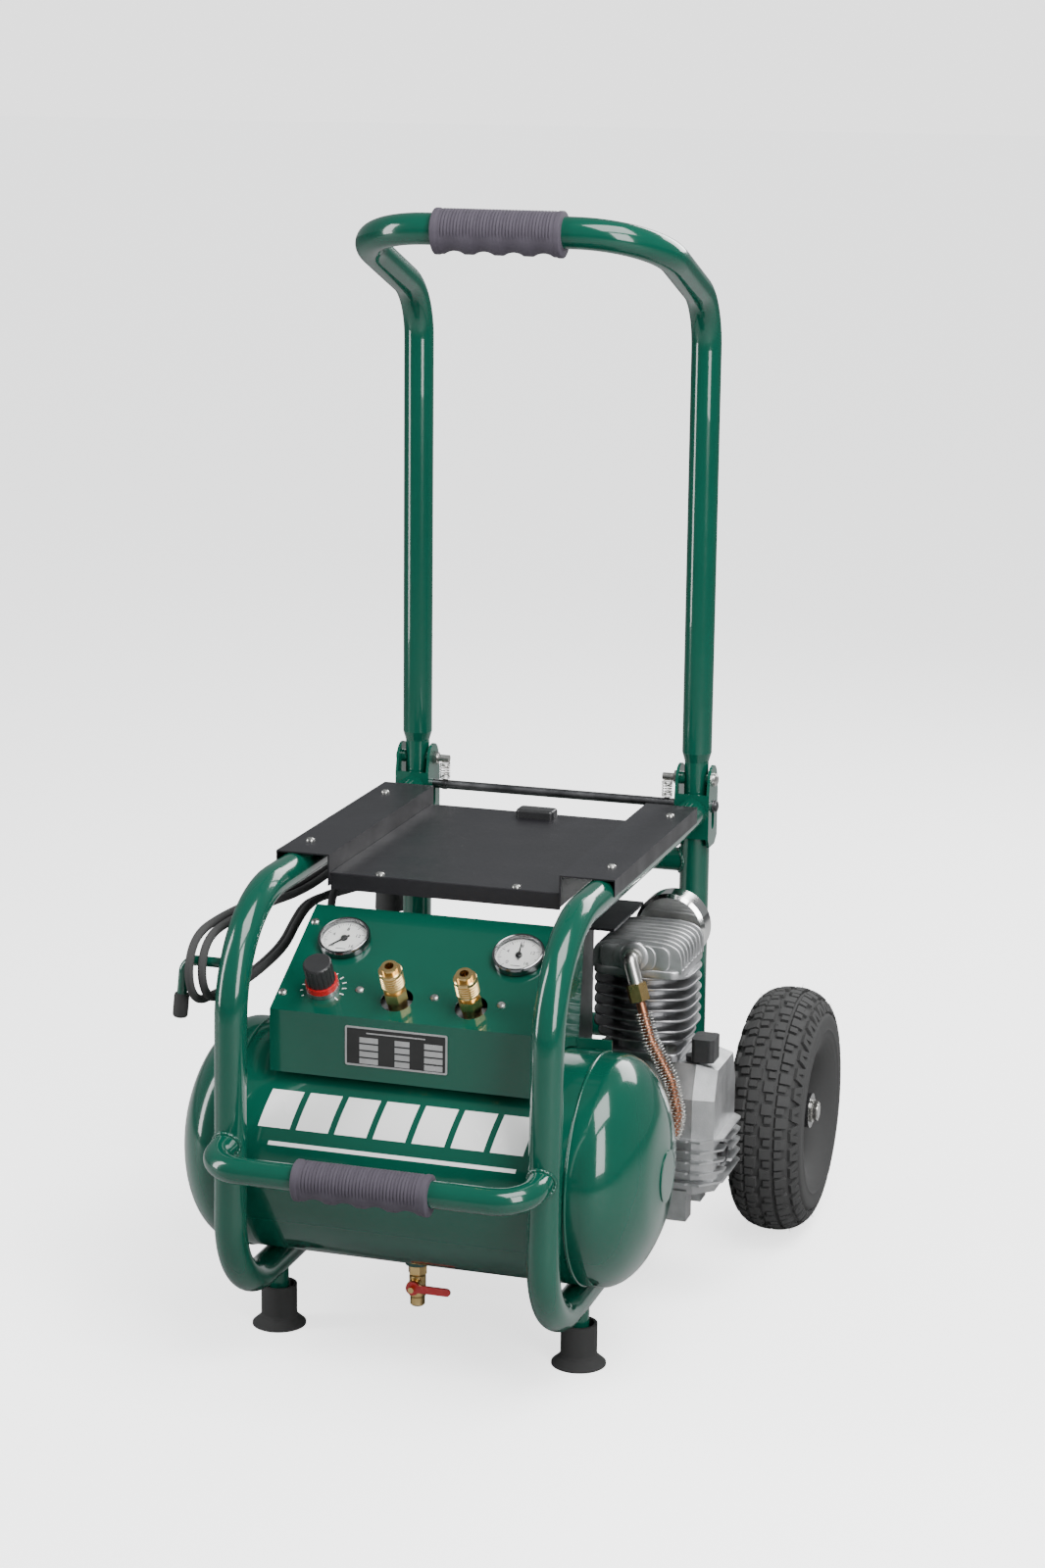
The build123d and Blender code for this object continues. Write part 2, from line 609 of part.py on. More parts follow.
# quick couplers: a hexagon body screwed into the manifold, and a sleeve that pulls back
SLEEVE_LOW = 20.0
SLEEVE_LEN = 21.0
SLEEVE_R = 11.6
BODY_NECK_R = 8.0
coupler_outline = [
    (0, MANIFOLD_TOP - 12.0), (6.2, MANIFOLD_TOP - 12.0), (6.2, MANIFOLD_TOP + 0.2), (9.5,
        MANIFOLD_TOP + 0.2), (9.5, 2.0),
    (BODY_NECK_R + 1.2, 4.0), (BODY_NECK_R + 1.2, 13.0), (BODY_NECK_R, 15.0), (BODY_NECK_R, 46.0),
    (SOCKET_R, 46.0), (SOCKET_R, 20.0), (0, 20.0),
]
coupler_pieces = []
for x in COUPLER_X:
    body = turned(coupler_outline, slope_point(x, COUPLER_UP), SLOPE_OUT)
    nut = hexagon(slope_plane(x, COUPLER_UP, 3.0), 21.0, 12.0)
    coupler_pieces.append(body + nut)
with BuildPart() as coupler_bodies:
    add(coupler_pieces)
save(coupler_bodies.part, "coupler_bodies")

sleeve_outline = [(BODY_NECK_R + RUN, SLEEVE_LOW), (SLEEVE_R - 0.6, SLEEVE_LOW),
    (SLEEVE_R, SLEEVE_LOW + 0.6)]
RIB_PITCH = 3.0
for k in range(5):
    foot = SLEEVE_LOW + 3.0 + k * RIB_PITCH
    sleeve_outline += [(SLEEVE_R, foot), (SLEEVE_R - 0.9, foot + 0.5), (SLEEVE_R - 0.9, foot + 1.3),
        (SLEEVE_R, foot + 1.8)]
sleeve_outline += [(SLEEVE_R, SLEEVE_LOW + SLEEVE_LEN - 0.8), (SLEEVE_R - 0.8, SLEEVE_LOW + SLEEVE_LEN),
                   (BODY_NECK_R + RUN, SLEEVE_LOW + SLEEVE_LEN)]
for x, name in zip(COUPLER_X, ("coupler_sleeve_left", "coupler_sleeve_right")):
    save(turned(sleeve_outline, slope_point(x, COUPLER_UP), SLOPE_OUT), name)

# pressure switch on its riser behind the hood
SWITCH_LOW_Z = 335.0
SWITCH_Y = (FRONT_Y + 212.0, FRONT_Y + 270.0)
SWITCH_X = (-74.0, 14.0)
SWITCH_TOP_Z = 405.0
with BuildPart() as pressure_switch:
    add(block(SWITCH_X, SWITCH_Y, (SWITCH_LOW_Z, SWITCH_TOP_Z), 6.0))
    add(bar((RISER_X, RISER_Y, RISER_Z - 20), (RISER_X, RISER_Y, SWITCH_LOW_Z + 2), 12.6))
    add(hexagon(Plane.XY.offset(RISER_Z + 0.1).move(Location((RISER_X, RISER_Y, 0))), 20.0, 12.0))
save(pressure_switch.part, "pressure_switch")

# ---- tool tray ------------------------------------------------------------------------
PAN_FRONT = COVER_FRONT + 4.0
PAN_BACK = COVER_BACK - 6.0
with BuildPart() as tray_pan:
    add(block((-COVER_X0 + FIT, COVER_X0 - FIT), (FRONT_Y + PAN_FRONT, FRONT_Y + PAN_BACK),
        (PAN_Z - SHEET, PAN_Z)))
    add(block((-COVER_X0 + FIT, COVER_X0 - FIT), (FRONT_Y + PAN_FRONT, FRONT_Y + PAN_FRONT + SHEET),
              (PAN_Z - PAN_LIP, PAN_Z)))
    add(block((-COVER_X0 + FIT, COVER_X0 - FIT), (FRONT_Y + PAN_BACK - SHEET, FRONT_Y + PAN_BACK),
              (PAN_Z - PAN_LIP, PAN_Z)))
    fillet(tray_pan.edges().filter_by(Axis.X).group_by(Axis.Z)[-1], 1.2)

with BuildPart() as tray_covers:
    for side in (-1, 1):
        x_in, x_out = side * COVER_X0, side * COVER_X1
        y_span = (FRONT_Y + COVER_FRONT, FRONT_Y + COVER_BACK)
        for pair, z_span in (
            ((x_in, x_out), (TRAY_Z - SHEET, TRAY_Z)),
            ((x_out - side * (SHEET - 0.7), x_out), (TRAY_Z - COVER_SIDE_H, TRAY_Z)),
            ((x_in, x_in + side * SHEET), (PAN_Z - PAN_LIP + 4.0, TRAY_Z)),
        ):
            add(block(tuple(sorted(pair)), y_span, z_span))
    for solid in side_solids.values():
        add(solid, mode=Mode.SUBTRACT)

COVER_SCREWS = [(side * 158.5, back) for side in (-1, 1) for back in (221.0, 445.0)]
PAN_SCREWS = [(-70.0, 183.5), (72.0, 183.5)]
SHANK_R = 2.0
cover_places = [(x, FRONT_Y + back, TRAY_Z) for x, back in COVER_SCREWS]
pan_places = [(x, FRONT_Y + back, PAN_Z) for x, back in PAN_SCREWS]
tray_heads = [button_screw(place, (0, 0, 1), 4.6, 2.5, SHANK_R,
    SHEET - 0.05) for place in cover_places + pan_places]
for sheet, places, name in ((tray_covers, cover_places, "tray_covers"), (tray_pan, pan_places, "tray_pan")):
    holes = [bar((x, y, z - 2 * SHEET), (x, y, z + 1), 2 * SHANK_R) for x, y, z in places]
    save(sheet.part - holes, name)

panel_heads = [button_screw(slope_point(x, up), SLOPE_OUT, SCREW_HEAD_R, 2.4, SCREW_SHANK_R - RUN, 10.0)
               for x, up in PANEL_SCREWS]
with BuildPart() as machine_screws:
    add(tray_heads)
    add(panel_heads)
save(machine_screws.part, "machine_screws")

CATCH_X = (-16.0, 26.0)
CATCH_BACK = (458.0, 480.0)
with BuildPart() as tray_catch:
    with BuildSketch(Plane.XY.offset(PAN_Z + 0.05)):
        with Locations(((CATCH_X[0] + CATCH_X[1]) / 2, FRONT_Y + (CATCH_BACK[0] + CATCH_BACK[1]) / 2)):
            RectangleRounded(CATCH_X[1] - CATCH_X[0], CATCH_BACK[1] - CATCH_BACK[0], 5.0)
    extrude(amount=9.0)
    fillet(tray_catch.edges().group_by(Axis.Z)[-1], 3.0)
save(tray_catch.part, "tray_catch")

# ---- hinge brackets, handle and its latch ---------------------------------------------
CHEEK_BACK = 20.0
CHEEK_TOP_R = 16.0
slot_low = LATCH_Z - LATCH_TRAVEL
cheek_outline = [
    (REAR_Y - BRACKET_OUT, BRACKET_LOW_Z + 10),
    (REAR_Y - BRACKET_OUT, WEB_TOP_Z),
    (REAR_Y - CHEEK_TOP_R, HINGE_Z),
    (REAR_Y + CHEEK_TOP_R, HINGE_Z),
    (REAR_Y + CHEEK_BACK, HINGE_Z - 14),
    (REAR_Y + CHEEK_BACK, BRACKET_LOW_Z + 8),
    (REAR_Y + 10, BRACKET_LOW_Z),
    (REAR_Y - BRACKET_OUT + 6, BRACKET_LOW_Z),
]


def hinge_bracket(side):
    """U-shaped bracket: web at the front, two cheeks with a bolt hole and a latch slot."""
    x = side * FRAME_HALF
    with BuildPart() as bracket:
        for face in (x - BRACKET_OUT, x + BRACKET_IN):
            with BuildSketch(Plane.YZ.offset(face)):
                with BuildLine():
                    Polyline(*cheek_outline, close=True)
                make_face()
                with Locations((REAR_Y, HINGE_Z)):
                    Circle(CHEEK_TOP_R)
                    Circle(PIVOT_D / 2 + 0.1, mode=Mode.SUBTRACT)
                with Locations((REAR_Y, (LATCH_Z + slot_low) / 2)):
                    SlotOverall(LATCH_TRAVEL + LATCH_D + 2 * FIT, LATCH_D + 2 * FIT, rotation=90,
                        mode=Mode.SUBTRACT)
            extrude(amount=BRACKET_T)
        with BuildSketch(Plane.XY.offset(BRACKET_LOW_Z + 10)):
            with Locations((x, REAR_Y - BRACKET_OUT + BRACKET_T / 2)):
                Rectangle(2 * BRACKET_OUT, BRACKET_T)
        extrude(amount=WEB_TOP_Z - BRACKET_LOW_Z - 10)
    return bracket.part


with BuildPart() as hinge_brackets:
    add([hinge_bracket(-1), hinge_bracket(1)])
save(hinge_brackets.part, "hinge_brackets")

# the bent tube, then each leg's swaged end, rounded about the pivot so that it swings clear of the rod
handle_path = [
    (-FRAME_HALF, REAR_Y, SWAGE_Z + SWAGE_LEN),
    (-FRAME_HALF, REAR_Y, HANDLE_BEND_Z),
    (-FRAME_HALF, HANDLE_TOP_Y, HANDLE_TOP_Z),
    (FRAME_HALF, HANDLE_TOP_Y, HANDLE_TOP_Z),
    (FRAME_HALF, REAR_Y, HANDLE_BEND_Z),
    (FRAME_HALF, REAR_Y, SWAGE_Z + SWAGE_LEN),
]
handle_radii = [HANDLE_BEND_R, HANDLE_CORNER_R, HANDLE_CORNER_R, HANDLE_BEND_R]
LEG_R = LEG_END_D / 2
leg_low_z = HINGE_Z - LEG_END_R
swage_outline = [
    (LEG_R - TUBE_WALL, leg_low_z - 2), (LEG_R, leg_low_z - 2), (LEG_R, SWAGE_Z), (TUBE_R,
        SWAGE_Z + SWAGE_LEN),
    (TUBE_R - TUBE_WALL, SWAGE_Z + SWAGE_LEN), (LEG_R - TUBE_WALL, SWAGE_Z),
]
LEG_BUSH_R = PIVOT_D / 2 + 3.0
leg_ends = []
for side in (-1, 1):
    x = side * FRAME_HALF
    leg_end = turned(swage_outline, (x, REAR_Y, 0), (0, 0, 1))
    swing_room = bar((x - 30, REAR_Y, HINGE_Z), (x + 30, REAR_Y, HINGE_Z), 2 * LEG_END_R)
    below = block((x - 30, x + 30), (REAR_Y - 30, REAR_Y + 30), (leg_low_z - 10, HINGE_Z)) - swing_room
    bush = bar((x - BRACKET_IN + FIT, REAR_Y, HINGE_Z), (x + BRACKET_IN - FIT, REAR_Y, HINGE_Z),
        2 * LEG_BUSH_R)
    pin_hole = bar((x - 30, REAR_Y, HINGE_Z), (x + 30, REAR_Y, HINGE_Z), PIVOT_D + 2 * RUN)
    leg_ends.append(leg_end - below + bush - pin_hole)
handle_solid = tube(handle_path, handle_radii, TUBE_D, TUBE_D - 2 * TUBE_WALL)
with BuildPart() as handle_tube:
    add(handle_solid)
    add(leg_ends)
save(handle_tube.part, "handle_tube")
save(grip(TUBE_R, Vector(0, HANDLE_TOP_Y, HANDLE_TOP_Z), (0, 0.2, -1)), "handle_grip")

BOLT_IN = BRACKET_OUT + 18.0
pivot_solids = []
for side in (-1, 1):
    x = side * FRAME_HALF
    outer = (x + side * (BRACKET_OUT + 0.05), REAR_Y, HINGE_Z)
    pivot_solids.append(
        bar((x - side * BOLT_IN, REAR_Y, HINGE_Z), (x + side * (BRACKET_OUT + 1), REAR_Y, HINGE_Z), PIVOT_D)
        + turned([(0, 0), (7.4, 0), (7.0, 2.4), (4.2, 4.6), (0, 4.6)], outer, (side, 0, 0))
        + hexagon(Plane(origin=(x - side * (BRACKET_OUT + 0.05), REAR_Y, HINGE_Z), z_dir=(-side, 0, 0)),
            13.0, 5.0)
    )
with BuildPart() as pivot_bolts:
    add(pivot_solids)
save(pivot_bolts.part, "pivot_bolts")

# latch rod across both brackets, with a washer head outside each one and a spring collar inside
ROD_END = BRACKET_OUT + 4.5
ROD_HEAD_R = 7.2
SPRING_IN = BRACKET_OUT + 13.0
rod_solid = bar((-FRAME_HALF - ROD_END, REAR_Y, LATCH_Z), (FRAME_HALF + ROD_END, REAR_Y, LATCH_Z), LATCH_D)
rod_heads = []
for side in (-1, 1):
    x = side * FRAME_HALF
    rod_heads.append(turned([(0, 0), (ROD_HEAD_R, 0), (ROD_HEAD_R, 1.6), (5.4, 2.2), (5.4, 4.6),
        (3.0, 5.4), (0, 5.4)],
                            (x + side * (BRACKET_OUT + FIT), REAR_Y, LATCH_Z), (side, 0, 0)))
    rod_heads.append(bar((x - side * (SPRING_IN - 2.2), REAR_Y, LATCH_Z),
        (x - side * (SPRING_IN + 2.2), REAR_Y, LATCH_Z), LATCH_D + 1.6))
with BuildPart() as latch_rod:
    add(rod_solid)
    add(rod_heads)
save(latch_rod.part, "latch_rod")

# extension springs, each as the tube its coils fill
SPRING_R = 6.0
SPRING_TOP_Z = HINGE_Z - PIVOT_D / 2 - 0.6
SPRING_LOW_Z = LATCH_Z + LATCH_D / 2 + 1.4
spring_solids = [
    bar((side * (FRAME_HALF - SPRING_IN), REAR_Y, SPRING_LOW_Z),
        (side * (FRAME_HALF - SPRING_IN), REAR_Y, SPRING_TOP_Z),
        2 * SPRING_R, 2 * SPRING_R - 3.6)
    for side in (-1, 1)
]
with BuildPart() as latch_springs:
    add(spring_solids)
save(latch_springs.part, "latch_springs")

# ---- wheels ---------------------------------------------------------------------------
LUG_T = 6.0
LUG_R = 15.0
axle_out = WHEEL_X + TYRE_W / 2 - 3.0
lug_plates = []
for side in (-1, 1):
    x = side * FRAME_HALF
    with BuildPart() as lug:
        with BuildSketch(Plane.YZ.offset(x - LUG_T / 2)):
            with Locations((AXLE_Y, AXLE_Z)):
                Circle(LUG_R)
            with Locations((AXLE_Y - 12, AXLE_Z)):
                Rectangle(24, 2 * LUG_R + 16)
            with Locations((AXLE_Y, AXLE_Z)):
                Circle(AXLE_D / 2 + 0.1, mode=Mode.SUBTRACT)
        extrude(amount=LUG_T)
    lug_plates.append(lug.part - side_solids[side])
HUB_IN = WHEEL_X - 34.0
HUB_OUT = WHEEL_X + 30.0
axle_solid = bar((-axle_out, AXLE_Y, AXLE_Z), (axle_out, AXLE_Y, AXLE_Z), AXLE_D)
axle_parts = []
for side in (-1, 1):
    axle_parts.append(bar((side * (HUB_IN - FIT), AXLE_Y, AXLE_Z),
        (side * (HUB_IN - 5), AXLE_Y, AXLE_Z), 2 * 14.0))
    axle_parts.append(bar((side * (HUB_OUT + FIT), AXLE_Y, AXLE_Z),
        (side * (HUB_OUT + 2.3), AXLE_Y, AXLE_Z), 2 * 13.0))
    axle_parts.append(hexagon(Plane(origin=(side * (HUB_OUT + 2.3), AXLE_Y, AXLE_Z),
        z_dir=(side, 0, 0)), 20.0, 5.0))
with BuildPart() as axle:
    add(axle_solid)
    add(axle_parts)
save(axle.part, "axle")

TYRE_HALF = TYRE_W / 2
BEAD_R = RIM_R - 8.0
rim_half = RIM_W / 2
RIM_T = 2.4


def tyre_outline():
    """Half section of the tyre as (radius, across): crown, shoulders, walls and beads."""
    outer = [
        (WHEEL_R, 0), (WHEEL_R - 1.5, 14), (WHEEL_R - 7.0, 27), (WHEEL_R - 17.0, 36.5), (WHEEL_R - 31.0,
            TYRE_HALF),
        (WHEEL_R - 50.0, TYRE_HALF - 2.0), (WHEEL_R - 66.0, TYRE_HALF - 9.0), (RIM_R + 1.0, rim_half - 0.4),
        (RIM_R - 1.0, rim_half - 2.8), (BEAD_R + 0.2, rim_half - 2.8), (BEAD_R + 0.2, rim_half - 12.0),
        (RIM_R + 8.0, rim_half - 4.0), (WHEEL_R - 48.0, TYRE_HALF - 9.0), (WHEEL_R - 20.0,
            27), (WHEEL_R - 13.0, 0),
    ]
    return outer + [(r, -a) for r, a in outer[-2:0:-1]]


rim_outline = [
    (BEAD_R, -rim_half + 2.6), (RIM_R - 1.2, -rim_half + 2.4), (RIM_R + 0.4,
        -rim_half + 0.6), (RIM_R - 1.0, -rim_half),
    (RIM_R - 3.4, -rim_half + 0.2), (BEAD_R - RIM_T, -rim_half + 2.0), (BEAD_R - 9.0, -6.0), (HUB_R,
        -2.4), (HUB_R, -34.0),
    (14.0, -34.0), (14.0, -34.0 + BEARING_W), (15.5, -34.0 + BEARING_W), (15.5,
        30.0 - BEARING_W), (14.0, 30.0 - BEARING_W),
    (14.0, 30.0), (HUB_R, 30.0), (HUB_R, 1.2), (BEAD_R - 9.0 + RIM_T, -2.0), (BEAD_R - RIM_T,
        rim_half - 2.0),
    (RIM_R - 3.4, rim_half - 0.2), (RIM_R - 1.0, rim_half), (RIM_R + 0.4, rim_half - 0.6), (RIM_R - 1.2,
        rim_half - 2.4),
    (BEAD_R, rim_half - 2.6), (BEAD_R, rim_half - 12.5), (BEAD_R - 6.0, rim_half - 16.0), (BEAD_R - 6.0,
        -rim_half + 16.0),
    (BEAD_R, -rim_half + 12.5),
]
for side, name in ((-1, "left"), (1, "right")):
    centre = (side * WHEEL_X, AXLE_Y, AXLE_Z)
    save(turned(tyre_outline(), centre, (side, 0, 0)), f"tyre_{name}")
    hub_solid = turned(rim_outline, centre, (side, 0, 0))
    bearings = [
        turned([(AXLE_D / 2 + RUN, low), (13.9, low), (13.9, low + BEARING_W),
            (AXLE_D / 2 + RUN, low + BEARING_W)],
               centre, (side, 0, 0))
        for low in (-34.0, 30.0 - BEARING_W)
    ]
    with BuildPart() as rim:
        add(hub_solid)
        add(bearings)
    save(rim.part, f"rim_{name}")
    
# ---- pump -----------------------------------------------------------------------------
CASE_X0 = PUMP_X - 46.0
CASE_X1 = PUMP_X + CASE_HALF_X + 10.0
CASE_WALL = 5.0
COVER_X_END = CASE_X1 + 22.0
case_profile = [
    (PUMP_Y - CASE_HALF_Y + 12, CASE_LOW_Z), (PUMP_Y - CASE_HALF_Y,
        CASE_LOW_Z + 20), (PUMP_Y - CASE_HALF_Y, CASE_TOP_Z - 34),
    (PUMP_Y - CASE_HALF_Y + 14, CASE_TOP_Z), (PUMP_Y + CASE_HALF_Y - 14,
        CASE_TOP_Z), (PUMP_Y + CASE_HALF_Y, CASE_TOP_Z - 34),
    (PUMP_Y + CASE_HALF_Y, CASE_LOW_Z + 20), (PUMP_Y + CASE_HALF_Y - 12, CASE_LOW_Z),
]
FEET_Z = BASE_Z + BASE_T
FIN_ROWS = 5
FIN_PITCH = 11.5
FIN_T = 2.2
SPIGOT_R = BORE_R + 5.0


def case_fin(row, x0, x1, out, nose):
    """One flat cooling fin round the lower part of the crankcase, its outer corners cut off by nose."""
    z = CASE_LOW_Z + 16.0 + row * FIN_PITCH
    y0, y1 = PUMP_Y - CASE_HALF_Y - out, PUMP_Y + CASE_HALF_Y + out
    with BuildPart() as fin:
        with BuildSketch(Plane.XY.offset(z)):
            with BuildLine():
                Polyline((x0, y0), (x1 - nose, y0), (x1, y0 + nose), (x1, y1 - nose), (x1 - nose, y1),
                    (x0, y1),
                         close=True)
            make_face()
        extrude(amount=FIN_T)
    return fin.part


CRANK_ROOM_R = 44.0
with BuildPart() as case_body:
    with BuildSketch(Plane.YZ.offset(CASE_X0)):
        with BuildLine():
            Polyline(*case_profile, close=True)
        make_face()
    extrude(amount=CASE_X1 - CASE_X0)
case_fins = [case_fin(row, CASE_X0 + 20, CASE_X1, 7.0, 4.0) for row in range(FIN_ROWS)]
case_feet = [block((CASE_X0 + 6, CASE_X1 - 6), pair, (FEET_Z, CASE_LOW_Z + 4)) for pair in
             ((PUMP_Y - CASE_HALF_Y + 8, PUMP_Y - CASE_HALF_Y + 30),
                 (PUMP_Y + CASE_HALF_Y - 30, PUMP_Y + CASE_HALF_Y - 8))]
SHAFT_R = 10.0
crank_room = bar((CASE_X0 + CASE_WALL, PUMP_Y, CRANK_Z), (CASE_X1 + 1, PUMP_Y, CRANK_Z), 2 * CRANK_ROOM_R)
with BuildPart() as crankcase:
    add(case_body.part)
    add(case_fins)
    add(case_feet)
    add(crank_room, mode=Mode.SUBTRACT)
    add(bar((PUMP_X, PUMP_Y, CRANK_Z), (PUMP_X, PUMP_Y, CASE_TOP_Z + 5), 2 * SPIGOT_R), mode=Mode.SUBTRACT)
    add(bar((CASE_X0 - 1, PUMP_Y, CRANK_Z), (CASE_X0 + CASE_WALL + 1, PUMP_Y, CRANK_Z),
        2 * SHAFT_R + 2 * RUN),
        mode=Mode.SUBTRACT)
save(crankcase.part, "crankcase")

# finned end cover of the crankcase with its oil sight glass
cover_fins = [case_fin(row, CASE_X1 + 0.1, COVER_X_END + 9.0, 7.0, 20.0) for row in range(FIN_ROWS)]
with BuildPart() as case_cover:
    with BuildSketch(Plane.YZ.offset(CASE_X1 + 0.1)):
        with BuildLine():
            Polyline(*case_profile, close=True)
        make_face()
    extrude(amount=COVER_X_END - CASE_X1, taper=14)
    add(cover_fins)
    add(bar((CASE_X1, PUMP_Y, CRANK_Z), (CASE_X1 + 8, PUMP_Y, CRANK_Z), 2 * CRANK_ROOM_R),
        mode=Mode.SUBTRACT)
GLASS_Z = CASE_LOW_Z + 40.0
glass_o = (COVER_X_END - 1.0, PUMP_Y - 12, GLASS_Z)
with BuildPart() as crankcase_cover:
    add(case_cover.part)
    add(bar(glass_o, (COVER_X_END + 9, PUMP_Y - 12, GLASS_Z), 32.0), mode=Mode.SUBTRACT)
save(crankcase_cover.part, "crankcase_cover")
glass_outline = [(0, 0.1), (11.0, 0.1), (11.0, 5.0), (9.0, 7.0), (7.5, 7.0), (7.5, 4.0), (0, 4.0)]
sight_glass = turned(glass_outline, glass_o, (1, 0, 0))

# ribbed breather and filler block on the crankcase shoulder
with BuildPart() as oil_filler:
    add(block((CASE_X1 - 5, CASE_X1 + 19), (PUMP_Y - 42, PUMP_Y - 12),
        (CASE_TOP_Z + 4, CASE_TOP_Z + 28), 5.0))
    add(bar((CASE_X1 - 6, PUMP_Y - 24, CASE_TOP_Z + 0.1), (CASE_X1 - 6, PUMP_Y - 24, CASE_TOP_Z + 6), 16.0))
    add(sight_glass)
save(oil_filler.part, "oil_filler")

cyl_low = CRANK_Z + 62.0
CYL_FINS = 6
with BuildPart() as cylinder:
    with BuildSketch(Plane.XY.offset(cyl_low)):
        with Locations((PUMP_X, PUMP_Y)):
            Circle(SPIGOT_R - 0.1)
    extrude(amount=CASE_TOP_Z - cyl_low + 2)
    with BuildSketch(Plane.XY.offset(CASE_TOP_Z + 0.1)):
        with Locations((PUMP_X, PUMP_Y)):
            RectangleRounded(88, 84, 14)
    extrude(amount=9)
    with BuildSketch(Plane.XY.offset(CASE_TOP_Z + 5)):
        with Locations((PUMP_X, PUMP_Y)):
            Circle(BORE_R + 7)
    extrude(amount=CYL_TOP_Z - CASE_TOP_Z - 5)
    fin_gap = (CYL_TOP_Z - CASE_TOP_Z - 22) / CYL_FINS
    for row in range(CYL_FINS):
        with BuildSketch(Plane.XY.offset(CASE_TOP_Z + 20 + row * fin_gap)):
            with Locations((PUMP_X, PUMP_Y)):
                Circle(FIN_R)
        extrude(amount=2.4)
    with BuildSketch(Plane.XY.offset(cyl_low - 1)):
        with Locations((PUMP_X, PUMP_Y)):
            Circle(BORE_R)
    extrude(amount=CYL_TOP_Z - cyl_low + 2, mode=Mode.SUBTRACT)
save(cylinder.part, "cylinder")

# head on its valve plate: upright fins across the width, an outlet boss at the front
PLATE_T = 6.0
HEAD_X = 47.0
HEAD_Y = 50.0
head_low = CYL_TOP_Z + PLATE_T + 0.1
HEAD_FINS = 8
with BuildPart() as valve_plate:
    with BuildSketch(Plane.XY.offset(CYL_TOP_Z + 0.05)):
        with Locations((PUMP_X, PUMP_Y)):
            RectangleRounded(2 * HEAD_X, 2 * HEAD_Y, 16)
    extrude(amount=PLATE_T)

BOSS_X = PUMP_X - 2.0
BOSS_Z = head_low + 16.0
with BuildPart() as head_core:
    with BuildSketch(Plane.XY.offset(head_low)):
        with Locations((PUMP_X, PUMP_Y)):
            RectangleRounded(2 * HEAD_X, 2 * HEAD_Y, 16)
    extrude(amount=11)
    with BuildSketch(Plane.XZ.offset(-(PUMP_Y + HEAD_Y - 4))):
        with Locations((PUMP_X, head_low + HEAD_H / 2)):
            RectangleRounded(2 * HEAD_X - 24, HEAD_H - 8, 6)
    extrude(amount=2 * HEAD_Y - 8)
head_fins = []
for row in range(HEAD_FINS):
    y = PUMP_Y - HEAD_Y + 6 + row * (2 * HEAD_Y - 15) / (HEAD_FINS - 1)
    with BuildPart() as fin:
        with BuildSketch(Plane.XZ.offset(-(y + 2.6))):
            with BuildLine():
                Polyline((PUMP_X - HEAD_X, head_low), (PUMP_X - HEAD_X, head_low + HEAD_H - 16),
                         (PUMP_X - HEAD_X + 14, head_low + HEAD_H), (PUMP_X + HEAD_X - 14,
                             head_low + HEAD_H),
                         (PUMP_X + HEAD_X, head_low + HEAD_H - 16), (PUMP_X + HEAD_X, head_low), close=True)
            make_face()
        extrude(amount=2.6)
    head_fins.append(fin.part)
outlet_boss = bar((BOSS_X, PUMP_Y - HEAD_Y + 10, BOSS_Z), (BOSS_X, PUMP_Y - HEAD_Y - 3, BOSS_Z), 30.0)
with BuildPart() as cylinder_head:
    add(head_core.part)
    add(head_fins)
    add(outlet_boss)
    add(valve_plate.part)
save(cylinder_head.part, "cylinder_head")

BOLT_X = HEAD_X - 11.0
BOLT_Y = HEAD_Y - 12.0
bolt_solids = []
for dx in (-BOLT_X, BOLT_X):
    for dy in (-BOLT_Y, BOLT_Y):
        bolt_solids.append(hexagon(Plane.XY.offset(CASE_TOP_Z + 9.2).move(Location((PUMP_X + dx * 0.95,
            PUMP_Y + dy * 0.82, 0))), 10.0, 6.0))
with BuildPart() as pump_bolts:
    add(bolt_solids)
save(pump_bolts.part, "pump_bolts")

# round air filter on the back of the head
FILTER_R = 38.0
FILTER_Z = head_low + 16.0
filter_o = (PUMP_X + 6.0, PUMP_Y + HEAD_Y + 0.1, FILTER_Z)
filter_outline = [(0, 0), (9.0, 0), (9.0, 8.0), (FILTER_R - 4, 8.0), (FILTER_R, 11.0), (FILTER_R, 36.0),
    (FILTER_R - 3, 39.0),
                  (0, 39.0)]
save(turned(filter_outline, filter_o, (0, 1, 0)), "air_filter")

# discharge line: elbow, brass nuts, finned copper tube, check valve on the tank
LINE_D = 19.0
elbow_o = Vector(BOSS_X, PUMP_Y - HEAD_Y - 3.1, BOSS_Z)
elbow_bend = elbow_o + Vector(0, -13.0, 0)
elbow_dir = Vector(0.30, -0.10, -0.95).normalized()
elbow_end = elbow_bend + elbow_dir * 24.0
with BuildPart() as elbow:
    add(tube([tuple(elbow_o), tuple(elbow_bend), tuple(elbow_end)], [6.0], 15.0))
    add(bar(tuple(elbow_o), tuple(elbow_o + Vector(0, -6.0, 0)), 19.0))
save(elbow.part, "discharge_elbow")

nut_plane = Plane(origin=tuple(elbow_end + elbow_dir * 0.1), z_dir=tuple(elbow_dir))
valve_mouth = Vector(CHECK_X, TANK_Y + TANK_R + 7.1, CHECK_Z)
VALVE_BODY_R = 8.5
CHECK_LEN = 24.0
check_turn = valve_mouth + Vector(0, 13.0, 0)
with BuildPart() as brass_fittings:
    add(hexagon(nut_plane, 19.0, 18.0))
    add(bar(tuple(valve_mouth), tuple(check_turn), 2 * VALVE_BODY_R))
    add(bar(tuple(check_turn + Vector(-10, 0, 0)), tuple(check_turn + Vector(CHECK_LEN, 0, 0)),
        2 * VALVE_BODY_R))
save(brass_fittings.part, "brass_fittings")

